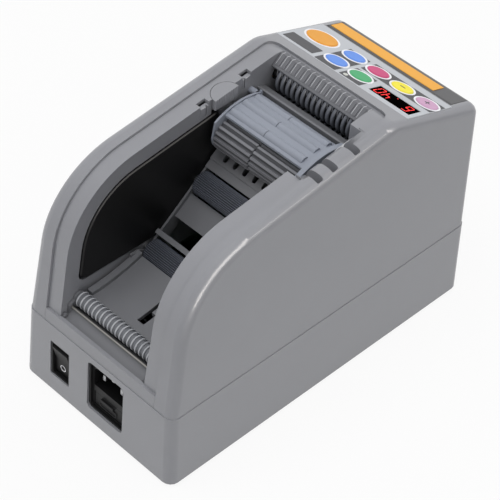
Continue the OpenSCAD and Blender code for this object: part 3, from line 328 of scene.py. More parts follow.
@dataclass(frozen=True)
class Moulding:
    """Moulded plastic or rubber with a fine grain and a slight mottle.

    Attributes:
        name: Name of the finish.
        colour: Base colour.
        gloss: Middle roughness.
        grain: Depth of the grain in metres.
        grain_scale: Grains to a metre.
        coat: Weight of the clear top gloss.
        coat_gloss: Roughness of the top gloss.
        shine: Level of the surface's own mirror.
        mottle_scale: Blotches of the mottle to a metre.
        mottle_shades: Factors of its darker and its paler shade.
        mottle_gloss: Spread of the roughness with the mottle.
        grain_gloss: Spread of the roughness with the grain.
        octaves: Octaves of the mottle and of the grain.
    """

    name: str
    colour: Rgb
    gloss: float = 0.38
    grain: float = 0.012 * MM
    grain_scale: float = 1600.0
    coat: float = 0.0
    coat_gloss: float = 0.1
    shine: float = 0.5
    mottle_scale: float = 45.0
    mottle_shades: Span = (0.955, 1.045)
    mottle_gloss: float = 0.06
    grain_gloss: float = 0.04
    octaves: Span = (4.0, 3.0)

    def material(self) -> bpy.types.Material:
        """Make the material.

        Returns:
            The material.
        """
        shader = Shader(self.name)
        where = shader.place()
        mottle = shader.noise(where, self.mottle_scale, self.octaves[0])
        fine = shader.noise(where, self.grain_scale, self.octaves[1])
        smoothest = self.gloss - (self.mottle_gloss + self.grain_gloss) / 2
        shader.set(
            Base_Color=shader.varied(mottle, self.colour, self.mottle_shades),
            Roughness=smoothest + mottle * self.mottle_gloss + fine * self.grain_gloss,
            Normal=shader.bump(fine, self.grain),
            Coat_Weight=self.coat, Coat_Roughness=self.coat_gloss, Specular_IOR_Level=self.shine,
        )
        return shader.material


@dataclass(frozen=True)
class Metal:
    """Drawn or brushed metal with fine lines along X.

    Attributes:
        name: Name of the finish.
        colour: Base colour.
        gloss: Roughness of the smoothest lines.
    """

    name: str
    colour: Rgb
    gloss: float = 0.22
    gloss_spread: ClassVar[float] = 0.14
    stretch: ClassVar[float] = 40.0
    line_scale: ClassVar[float] = 3500.0
    line_depth: ClassVar[float] = 0.004 * MM
    line_shades: ClassVar[Span] = (0.86, 1.06)

    def material(self) -> bpy.types.Material:
        """Make the material.

        Returns:
            The material.
        """
        shader = Shader(self.name)
        squeeze = (1.0 / self.stretch, 1.0, 1.0)
        mapped = shader.node("ShaderNodeMapping", {}, {"Vector": shader.place(), "Scale": squeeze})
        lines = shader.noise(mapped, self.line_scale, detail=2.0)
        shader.set(
            Base_Color=shader.varied(lines, self.colour, self.line_shades), Metallic=1.0,
            Roughness=self.gloss + lines * self.gloss_spread, Normal=shader.bump(lines, self.line_depth),
        )
        return shader.material


@dataclass(frozen=True)
class Ribbed:
    """Ribbed or ringed roller along X, with a painted highlight on its crests and painted shade in its
    grooves.

    Attributes:
        name: Name of the finish.
        crest: Colour of the crests, paler by a painted highlight.
        groove: Colour of the grooves, darker by painted shade.
        depth: Depth of the grooves in metres.
        gloss: Roughness of the grooves.
    """

    name: str
    crest: Rgb
    groove: Rgb
    depth: float
    gloss: float = 0.53
    painted_highlight_gloss: ClassVar[float] = 0.1
    bloom_gloss: ClassVar[float] = 0.05
    bloom_scale: ClassVar[float] = 160.0
    bloom_shades: ClassVar[Span] = (0.92, 1.08)
    grain: ClassVar[float] = 0.01 * MM
    grain_scale: ClassVar[float] = 2400.0

    def material(self, low: Vector, high: Vector) -> bpy.types.Material:
        """Make the material for one roller.

        Args:
            low: The roller's lowest corner.
            high: Its highest corner.

        Returns:
            The material.
        """
        shader = Shader(self.name)
        where = shader.place()
        _, y, z = shader.axes(where)
        y, z = y - (low[1] + high[1]) / 2, z - (low[2] + high[2]) / 2
        foot = (high[2] - low[2]) / 2 - self.depth
        # Share of the painted highlight: 1 on the crests and 0 deep in the grooves, which keep the painted
        # shade.
        painted_highlight = (((y * y + z * z).root() - foot) / self.depth).clamped()
        bloom = shader.noise(where, self.bloom_scale, detail=5.0)
        deep, pale = (shader.varied(bloom, colour, self.bloom_shades) for colour in (self.groove, self.crest))
        fine = shader.noise(where, self.grain_scale, detail=2.0)
        shader.set(
            Base_Color=shader.blend(painted_highlight, deep, pale),
            Roughness=self.gloss - painted_highlight * self.painted_highlight_gloss + bloom * self.bloom_gloss,
            Normal=shader.bump(fine, self.grain),
        )
        return shader.material


@dataclass(frozen=True)
class Toothed:
    """Moulded comb with a painted highlight along one edge of each tongue.

    Attributes:
        name: Name of the finish.
        colour: Base colour.
        painted_highlight: Colour of the painted highlight along the tongues' edges.
        pitch: Distance between tongues along X.
        edge: Distance from a tongue's middle to the edge with the painted highlight.
        width: Half of the width of the painted highlight line.
        start: Height at which the tongues begin.
    """

    name: str
    colour: Rgb
    painted_highlight: Rgb
    pitch: float = 3.79 * MM
    edge: float = 1.3 * MM
    width: float = 0.34 * MM
    start: float = 154.6 * MM
    rise: ClassVar[float] = 1.0 * MM
    gloss: ClassVar[float] = 0.4
    painted_highlight_gloss: ClassVar[float] = 0.1
    fade_scale: ClassVar[float] = 500.0
    fade_shades: ClassVar[Span] = (0.94, 1.06)
    fade_least: ClassVar[float] = 0.5
    grain: ClassVar[float] = 0.012 * MM
    grain_scale: ClassVar[float] = 1600.0

    def material(self) -> bpy.types.Material:
        """Make the material.

        Returns:
            The material.
        """
        shader = Shader(self.name)
        where = shader.place()
        x, _, z = shader.axes(where)
        # Painted highlight: a pale line along one edge of each tongue, from the tongues' start upward.
        away = (((x + self.edge) / self.pitch + 0.5).fraction() - 0.5).absolute() * self.pitch
        line = (1.0 - away / self.width).clamped() * ((z - self.start) / self.rise).clamped()
        fade = shader.noise(where, self.fade_scale, detail=2.0)
        fine = shader.noise(where, self.grain_scale, detail=3.0)
        worn = shader.varied(fade, self.colour, self.fade_shades)
        shader.set(
            Base_Color=shader.blend(line * (self.fade_least + fade), worn, self.painted_highlight),
            Roughness=self.gloss - line * self.painted_highlight_gloss, Normal=shader.bump(fine, self.grain),
        )
        return shader.material


@dataclass(frozen=True)
class Board:
    """Circuit board with darker tracks.

    Attributes:
        name: Name of the finish.
        colour: Colour of the lacquer.
    """

    name: str
    colour: Rgb
    cell_scale: ClassVar[float] = 260.0
    track_start: ClassVar[float] = 0.42
    track_edge: ClassVar[float] = 30.0
    track_shade: ClassVar[float] = 0.55
    gloss: ClassVar[float] = 0.35
    track_gloss: ClassVar[float] = 0.1

    def material(self) -> bpy.types.Material:
        """Make the material.

        Returns:
            The material.
        """
        shader = Shader(self.name)
        inputs = {"Vector": shader.place(), "Scale": self.cell_scale}
        cells = shader.node("ShaderNodeTexVoronoi", {"distance": "MANHATTAN"}, inputs)
        track = ((cells - self.track_start) * self.track_edge).clamped()
        shader.set(
            Base_Color=shader.varied(track, self.colour, (1.0, self.track_shade)),
            Roughness=self.gloss + track * self.track_gloss,
        )
        return shader.material


@dataclass(frozen=True)
class Glow:
    """Lit segment of a display.

    Attributes:
        name: Name of the finish.
        colour: Colour of the light.
        strength: Brightness.
    """

    name: str
    colour: Rgb
    strength: float = 1.15
    gloss: ClassVar[float] = 0.4
    lens_shade: ClassVar[float] = 0.4
    flicker_scale: ClassVar[float] = 700.0
    flicker_shades: ClassVar[Span] = (0.82, 1.0)

    def material(self) -> bpy.types.Material:
        """Make the material.

        Returns:
            The material.
        """
        shader = Shader(self.name)
        flicker = shader.noise(shader.place(), self.flicker_scale, detail=1.0)
        shader.set(
            Base_Color=shade(self.colour, self.lens_shade), Roughness=self.gloss,
            Emission_Color=shader.varied(flicker, self.colour, self.flicker_shades),
            Emission_Strength=self.strength,
        )
        return shader.material


def basis(place: Vector, across: Vector, upward: Vector, normal: Vector) -> Matrix:
    """Transform to a place, with three directions for x, y and z."""
    return Matrix.Translation(place) @ Matrix((across, upward, normal)).transposed().to_4x4()


@dataclass
class Slope:
    """The plane of the control panel, with x across it and u down it from its near edge.

    Attributes:
        origin: Middle of the near edge of the panel sheet, on its top.
        normal: Out of the panel.
    """

    origin: Vector
    normal: Vector
    level: ClassVar[float] = 0.01 * MM
    sunk: ClassVar[float] = 0.3 * MM

    @classmethod
    def of_sheet(cls, sheet: bpy.types.Object, press_axis: Place) -> "Slope":
        """Find the plane from the sheet's corners and a key's direction.

        Args:
            sheet: The panel sheet's solid.
            press_axis: Direction in which a key is pressed.

        Returns:
            The plane.
        """
        normal = -Vector(press_axis).normalized()
        height = max(v.co.dot(normal) for v in sheet.data.vertices)
        near = min(v.co.y for v in sheet.data.vertices if v.co.dot(normal) > height - cls.level)
        return cls(Vector((0.0, near, (height - near * normal.y) / normal.z)), normal)

    @property
    def down(self) -> Vector:
        """Direction of u."""
        return Vector((0.0, self.normal.z, -self.normal.y))

    def local(self, point: Vector) -> Vector:
        """Place of a point as x, u and height over the panel."""
        offset = point - self.origin
        return Vector((offset.x, offset.dot(self.down), offset.dot(self.normal)))

    def at(self, x: float, down: float, height: float = 0.0) -> Matrix:
        """Transform to a place on the panel."""
        return basis(self.origin, ACROSS, self.down, self.normal) @ Matrix.Translation((x, down, height))

    def top_of(self, solid: bpy.types.Object) -> tuple[Vector, Vector]:
        """Middle and half size, in panel coordinates, of what stands over the panel.

        Args:
            solid: A solid with its top over the panel or level with it.

        Returns:
            The middle of the top, and half of its width and length.
        """
        points = [p for p in (self.local(v.co) for v in solid.data.vertices) if p.z > -self.sunk]
        low = Vector(tuple(min(p[i] for p in points) for i in range(3)))
        high = Vector(tuple(max(p[i] for p in points) for i in range(3)))
        return Vector((*((low + high) / 2).xy, high.z)), ((high - low) / 2).xy


def only(piece: bpy.types.Object) -> None:
    """Select one object alone and make it active.

    Args:
        piece: The object.
    """
    bpy.ops.object.select_all(action="DESELECT")
    piece.select_set(True)
    bpy.context.view_layer.objects.active = piece


def enter(piece: bpy.types.Object) -> None:
    """Open an object in edit mode with all of it selected.

    Args:
        piece: The object.
    """
    only(piece)
    bpy.ops.object.mode_set(mode="EDIT")
    bpy.ops.mesh.select_all(action="SELECT")


def leave() -> None:
    """Go back from edit mode to object mode."""
    bpy.ops.object.mode_set(mode="OBJECT")


def linked(name: str, data: Any) -> bpy.types.Object:
    """Put a new object in the scene.

    Args:
        name: Its name.
        data: Its mesh, lamp or camera.

    Returns:
        The object.
    """
    made = bpy.data.objects.new(name, data)
    bpy.context.scene.collection.objects.link(made)
    return made


def flat(name: str, size: Span) -> bpy.types.Object:
    """Start a flat rectangle on the origin, and leave it open in edit mode.

    Args:
        name: Its name.
        size: Its width and length.

    Returns:
        The rectangle.
    """
    bpy.ops.object.select_all(action="DESELECT")
    bpy.ops.mesh.primitive_plane_add(size=1.0)
    piece = bpy.context.object
    piece.name = name
    enter(piece)
    bpy.ops.transform.resize(value=(*size, 1.0))
    return piece


def raise_up(piece: bpy.types.Object, thick: float) -> None:
    """Extrude a flat outline that is open in edit mode, and leave edit mode.

    Args:
        piece: The object.
        thick: How far it is raised along Z.
    """
    bpy.ops.mesh.select_all(action="SELECT")
    bpy.ops.mesh.extrude_region_move(TRANSFORM_OT_translate={"value": (0.0, 0.0, thick)})
    bpy.ops.mesh.select_all(action="SELECT")
    bpy.ops.mesh.normals_make_consistent(inside=False)
    leave()
    only(piece)


def plate(name: str, size: Span, corner: float, thick: float, steps: int = 5) -> bpy.types.Object:
    """Model a thin plate that lies on the origin.

    Args:
        name: Its name.
        size: Its width and length.
        corner: Rounding of its corners.
        thick: Its thickness.
        steps: Faces of each corner.

    Returns:
        The plate.
    """
    piece = flat(name, size)
    bpy.ops.mesh.bevel(offset=corner, segments=steps, affect="VERTICES")
    raise_up(piece, thick)
    return piece


def oval_ring(name: str, half: Span, width: float, thick: float, points: int = 72) -> bpy.types.Object:
    """Model a thin oval ring that lies on the origin.

    Args:
        name: Its name.
        half: Half of its outer width and length.
        width: Width of the ring itself.
        thick: Its thickness.
        points: Points round it.

    Returns:
        The ring.
    """
    bpy.ops.object.select_all(action="DESELECT")
    bpy.ops.mesh.primitive_circle_add(vertices=points, radius=1.0, fill_type="NGON")
    piece = bpy.context.object
    piece.name = name
    enter(piece)
    bpy.ops.transform.resize(value=(*half, 1.0))
    bpy.ops.mesh.inset(thickness=width, depth=0.0)
    bpy.ops.mesh.delete(type="FACE")
    raise_up(piece, thick)
    return piece


def pick(piece: bpy.types.Object, wanted: Callable[[Vector], bool]) -> None:
    """Open a mesh in edit mode with some of its points selected.

    Args:
        piece: The object, with its place in its mesh.
        wanted: Says whether a point at a place is selected.
    """
    enter(piece)
    bpy.ops.mesh.select_mode(type="VERT")
    bpy.ops.mesh.select_all(action="DESELECT")
    leave()
    for vertex in piece.data.vertices:
        vertex.select = wanted(vertex.co)
    bpy.ops.object.mode_set(mode="EDIT")


def slide(piece: bpy.types.Object, wanted: Callable[[Vector], bool], offset: Place) -> None:
    """Move some points of a mesh.

    Args:
        piece: The object, with its place in its mesh.
        wanted: Says whether a point at a place is moved.
        offset: How far they move.
    """
    pick(piece, wanted)
    bpy.ops.transform.translate(value=offset)
    leave()


def stamp(pattern: bpy.types.Object, where: Matrix) -> bpy.types.Object:
    """Copy a modelled piece, with its own mesh, to another place.

    Args:
        pattern: The piece.
        where: Transform of the copy.

    Returns:
        The copy.
    """
    copy = linked(pattern.name, pattern.data.copy())
    copy.matrix_world = where
    return copy


def lay(piece: bpy.types.Object, where: Matrix) -> None:
    """Move a piece, modelled at the origin, to its place in its mesh.

    Args:
        piece: The piece.
        where: Transform to its place.
    """
    only(piece)
    piece.matrix_world = where
    bpy.ops.object.transform_apply(location=True, rotation=True, scale=True)


def join(pieces: list[bpy.types.Object], name: str) -> bpy.types.Object:
    """Join pieces into one, with its place in its mesh.

    Args:
        pieces: The pieces.
        name: Name of the result.

    Returns:
        The joined piece.
    """
    only(pieces[0])
    for piece in pieces:
        piece.select_set(True)
    bpy.ops.object.transform_apply(location=True, rotation=True, scale=True)
    bpy.ops.object.join()
    joined = bpy.context.object
    joined.name = name
    return joined


def apply_modifiers(piece: bpy.types.Object) -> None:
    """Apply every modifier of an object, in order.

    Args:
        piece: The object.
    """
    only(piece)
    for modifier in list(piece.modifiers):
        bpy.ops.object.modifier_apply(modifier=modifier.name)


def dress(piece: bpy.types.Object, material: bpy.types.Material) -> None:
    """Give an object one material."""
    piece.data.materials.clear()
    piece.data.materials.append(material)


def settle(piece: bpy.types.Object, body: str, slot: str) -> None:
    """Let a finished piece move with a body.

    Args:
        piece: The piece, with its place in its mesh.
        body: Name of the body.
        slot: Not used.
    """
    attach(piece, body)
    log.info("%s rides on %s", piece.name, body)


@dataclass
class Workshop:
    """The loaded frame, with the finishes that dress it.

    Attributes:
        finishes: Materials by the record's slots, and by name for the prints.
        merge: Distance under which points of a copy become one.
        level: Largest angle in degrees between faces that become one.
        smooth: Largest angle in degrees between faces that are smoothed together.
        edge_steps: Faces across a rounded edge.
        face_weight: How much a large face counts in the smoothing, up to 100.
    """

    frame: dict[str, Any]
    finishes: dict[str, bpy.types.Material]
    merge: float = 0.002 * MM
    level: float = 0.4
    smooth: float = 32.0
    edge_steps: int = 2
    face_weight: int = 100

    def solid(self, node: str) -> bpy.types.Object:
        """A solid by its node's name."""
        return self.frame["nodes"][node]

    def slot_of(self, node: str) -> str:
        """The record's slot of a node."""
        return next(p["material_slot"] for p in self.frame["record"]["subparts"] if p["node"] == node)

    def body_of(self, node: str) -> str:
        """The body that a node belongs to."""
        bodies = self.frame["record"]["behaviour"]["bodies"]
        return next(body for body, nodes in bodies.items() if node in nodes)

    def joint(self, name: str) -> dict[str, Any]:
        """A joint by name."""
        return next(j for j in self.frame["joints"] if j["name"] == name)

    def round_edges(self, piece: bpy.types.Object, width: float) -> None:
        """Round the sharp edges of a copy.

        Args:
            piece: The copy.
            width: How far they are rounded.
        """
        bevel = piece.modifiers.new("edges", "BEVEL")
        bevel.width = width
        bevel.segments = self.edge_steps
        bevel.limit_method = "ANGLE"
        bevel.angle_limit = math.radians(self.smooth)
        bevel.use_clamp_overlap = True
        apply_modifiers(piece)

    def smooth_copy(self, node: str, edge: Edge, finish: str, reshape: Reshape | None) -> bpy.types.Object:
        """Copy a solid, merge its loose triangles, round its sharp edges and smooth it.

        Args:
            node: Name of the solid.
            edge: Rounding of its sharp edges.
            finish: Name of its finish.
            reshape: Works on the merged copy before its edges are rounded.

        Returns:
            The copy, which stands for the solid.
        """
        piece = linked(f"{node}_skin", self.solid(node).data.copy())
        enter(piece)
        bpy.ops.mesh.remove_doubles(threshold=self.merge)
        bpy.ops.mesh.dissolve_limited(angle_limit=math.radians(self.level))
        leave()
        if reshape:
            reshape(piece)
        if edge is not Edge.CRISP:
            self.round_edges(piece, edge.value)
        only(piece)
        bpy.ops.object.shade_smooth_by_angle(angle=math.radians(self.smooth))
        weighted = piece.modifiers.new("normals", "WEIGHTED_NORMAL")
        weighted.keep_sharp = True
        weighted.weight = self.face_weight
        apply_modifiers(piece)
        dress(piece, self.finishes[finish])
        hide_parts(node)
        settle(piece, self.body_of(node), self.slot_of(node))
        return piece

    def finish_solid(self, node: str) -> None:
        """Give a solid that stays its finish."""
        dress(self.solid(node), self.finishes[self.slot_of(node)])

    def add(self, piece: bpy.types.Object, where: Matrix, body: str, slot: str, finish: str) -> None:
        """Lay a new piece of trim in its place and finish it.

        Args:
            piece: The piece, modelled at the origin.
            where: Transform to its place.
            body: Body that it rides on.
            slot: A record's slot, handed on to settle.
            finish: Name of its finish.
        """
        lay(piece, where)
        dress(piece, self.finishes[finish])
        settle(piece, body, slot)


@dataclass
class Assembly:
    """A group of solids that are dressed together, with the trim on them.

    Attributes:
        shop: The workshop that dresses them.
        skins: The solids that are copied, with the rounding of their edges.
        own_finish: Finishes of copies that don't take their slot's.
        ribbed: Finishes of copies that are rollers, with painted highlights on their crests and painted shade
            in their grooves.
    """

    shop: Workshop
    skins: ClassVar[dict[str, Edge]] = {}
    own_finish: ClassVar[dict[str, str]] = {}
    ribbed: ClassVar[dict[str, Ribbed]] = {}

    def build(self) -> None:
        """Dress the solids and add the trim."""
        reshapes = self.reshapes()
        for node, edge in self.skins.items():
            finish = self.own_finish.get(node) or self.shop.slot_of(node)
            piece = self.shop.smooth_copy(node, edge, finish, reshapes.get(node))
            if node in self.ribbed:
                dress(piece, self.ribbed[node].material(*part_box(node)))
        self.trim()

    def reshapes(self) -> dict[str, Reshape]:
        """Changes to the copies of some solids: none here."""
        return {}

    def trim(self) -> None:
        """Add what the solids leave out: nothing here."""


@dataclass
class Housing(Assembly):
    """Base, cover and feet."""

    skins = {
        "base_tub": Edge.CRISP, "upper_cover": Edge.CRISP, "rubber_feet": Edge.ROUND,
        "housing_screws": Edge.FINE,
    }


@dataclass
class TapeBay(Assembly):
    """Walls, floors and free rollers of the tape bay.

    Attributes:
        slot_shift: How far the ramp's slots slide down.
        slot_middle: Middle of their row.
        slot_reach: Half size of the box that holds it.
        ramp_fall: Slope of the ramp there, in degrees.
        recess_end_x: Left and right side of the plate at the end of the holder's recess.
        recess_end_z: Its lower and upper side.
        recess_end_y: Its front.
        recess_end_t: Its thickness.
        recess_end_r: Rounding of its corners.
    """

    skins = {
        "bay_liner": Edge.SOFT, "left_side_panel": Edge.SOFT, "right_side_panel": Edge.SOFT,
        "bay_floor": Edge.FINE, "lip_tray": Edge.FINE, "lip_rod": Edge.FINE, "guide_roller": Edge.FINE,
        "guide_axle": Edge.FINE, "front_idler": Edge.CRISP, "rear_idler": Edge.CRISP,
    }
    # The lip tray takes a darker grey than the body: painted shade of its recess.
    own_finish = {"lip_rod": "dull_steel", "lip_tray": "tray_painted_shade"}
    # The ribbed rollers' crest colours carry a painted highlight, and their groove colours painted shade.
    idler: ClassVar[Ribbed] = Ribbed("idler ribs", srgb(90, 94, 105), srgb(34, 36, 42), 0.5 * MM)
    ribbed = {
        "front_idler": idler, "rear_idler": idler,
        "guide_roller": Ribbed("guide rings", srgb(166, 168, 173), srgb(96, 98, 103), 0.8 * MM, 0.44),
    }
    slot_shift: float = 4.0 * MM
    slot_middle: Place = (0.0, -1.1 * MM, 118.1 * MM)
    slot_reach: Place = (25.0 * MM, 4.0 * MM, 4.0 * MM)
    ramp_fall: float = 38.85
    recess_end_x: Span = (35.2 * MM, 39.6 * MM)
    recess_end_z: Span = (138.0 * MM, 156.6 * MM)
    recess_end_y: float = 29.05 * MM
    recess_end_t: float = 0.8 * MM
    recess_end_r: float = 0.2 * MM

    def reshapes(self) -> dict[str, Reshape]:
        """The ramp's slots lie lower in the copy."""
        return {"bay_floor": self.lower_slots}

    def lower_slots(self, piece: bpy.types.Object) -> None:
        """Slide the row of slots down the ramp, clear of the press roller's shade.

        Args:
            piece: Copy of the bay's floor.
        """
        fall = math.radians(self.ramp_fall)
        slide(piece, lambda co: all(abs(co[i] - self.slot_middle[i]) < self.slot_reach[i] for i in range(3)),
              (0.0, -self.slot_shift * math.cos(fall), -self.slot_shift * math.sin(fall)))

    def trim(self) -> None:
        """Close the end of the right band where the holder's recess stops."""
        (left, right), (low, high) = self.recess_end_x, self.recess_end_z
        piece = plate("recess_end", (right - left, high - low), self.recess_end_r, self.recess_end_t)
        place = Vector(((left + right) / 2, self.recess_end_y + self.recess_end_t, (low + high) / 2))
        where = basis(place, ACROSS, UPWARD, FORWARD)
        self.shop.add(piece, where, "housing", "body_plastic", "body_plastic")


@dataclass
class RollerHolder(Assembly):
    """Lifting holder with the press roller, its release button and posts.

    Attributes:
        arc_middle: Middle of the cheeks' arc, along Y and Z.
        arc_r: Its radius.
        arc_near: How far inside it a point still counts as on it.
        cheek_cut: How far the free cheek is cut down.
        cheek_inner: Place of its inner side along X.
        cheek_outer: Place of its outer side.
        cheek_thin: How much thinner it gets.
        lip_foot: Lower edge of the web's front lip, along Y and Z.
        lip_rise: How much thinner the lip gets.
        near: How close a point lies to what it counts as on.
    """

    skins = {
        "roller_holder": Edge.SOFT, "press_roller": Edge.CRISP, "press_axle": Edge.FINE,
        "release_button": Edge.FINE, "latch_posts": Edge.SOFT,
    }
    # The press roller's crest colour carries a painted highlight, and its groove colour painted shade.
    ribbed = {"press_roller": Ribbed("press roller ribs", srgb(112, 113, 118), srgb(46, 47, 51), 1.1 * MM)}
    arc_middle: Span = (10.0 * MM, 109.0 * MM)
    arc_r: float = 41.0 * MM
    arc_near: float = 0.4 * MM
    cheek_cut: float = 2.4 * MM
    cheek_inner: float = -27.0 * MM
    cheek_outer: float = -30.0 * MM
    cheek_thin: float = 1.6 * MM
    lip_foot: Span = (-3.45 * MM, 140.79 * MM)
    lip_rise: float = 1.8 * MM
    near: float = 0.08 * MM

    def reshapes(self) -> dict[str, Reshape]:
        """The holder's free cheek and its front lip are lighter in the copy."""
        return {"roller_holder": self.lighten_holder}

    def lighten_holder(self, piece: bpy.types.Object) -> None:
        """Cut the free cheek down to the waves, thin it, and thin the web's front lip.

        Args:
            piece: Copy of the roller holder.
        """
        middle = Vector((0.0, *self.arc_middle))
        reach = 1.0 - self.cheek_cut / self.arc_r
        pick(piece, lambda co: co.x < self.cheek_inner + self.near
             and (co - middle).yz.length > self.arc_r - self.arc_near and co.z > middle.z)
        bpy.ops.transform.resize(value=(1.0, reach, reach), center_override=middle)
        leave()
        slide(piece, lambda co: abs(co.x - self.cheek_outer) < self.near, (self.cheek_thin, 0.0, 0.0))
        foot_y, foot_z = self.lip_foot
        slide(piece, lambda co: abs(co.y - foot_y) < self.near and abs(co.z - foot_z) < self.near,
              (0.0, 0.0, self.lip_rise))


@dataclass
class FeedUnit(Assembly):
    """Feed rollers with their bar and comb."""

    skins = {
        "stripper_bar": Edge.SOFT, "comb_guide": Edge.FINE, "feed_roller": Edge.FINE,
        "lower_feed_roller": Edge.CRISP,
    }
    own_finish = {"comb_guide": "comb_plastic"}
    # The feed rings' crest colour carries a painted highlight, and the near-black groove colour painted
    # shade.
    ring: ClassVar[Ribbed] = Ribbed("feed rings", srgb(89, 92, 100), srgb(18, 19, 21), 2.0 * MM)
    ribbed = {"feed_roller": ring, "lower_feed_roller": ring}


@dataclass
class Cutter(Assembly):
    """Blades at the outlet, with their guard.

    Attributes:
        strip_growth: How much wider the guard's strip gets.
        strip_shift: How far it moves towards the guard's far edge.
    """

    skins = {
        "blade_guard": Edge.SOFT, "guard_strip": Edge.CRISP, "fixed_blade": Edge.FINE,
        "moving_blade": Edge.FINE, "tape_chute": Edge.FINE,
    }
    strip_growth: float = 1.32
    strip_shift: Place = (0.0, 0.9 * MM, -0.29 * MM)

    def reshapes(self) -> dict[str, Reshape]:
        """The guard's strip is wider in the copy."""
        return {"guard_strip": self.widen_strip}

    def widen_strip(self, piece: bpy.types.Object) -> None:
        """Widen the strip across the guard, and move it towards the guard's far edge.

        Args:
            piece: Copy of the strip.
        """
        low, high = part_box("guard_strip")
        middle = (Vector(low) + Vector(high)) / 2
        enter(piece)
        bpy.ops.transform.resize(value=(1.0, self.strip_growth, self.strip_growth), center_override=middle)
        bpy.ops.transform.translate(value=self.strip_shift)
        leave()


@dataclass(frozen=True)
class Patch:
    """A printed field of the panel, in millimetres over the sheet.

    Attributes:
        name: Name of the field.
        left: Lowest x.
        right: Highest x.
        near: Distance from the sheet's near edge to the field's near side.
        far: The same to its far side.
    """

    name: str
    left: float
    right: float
    near: float
    far: float


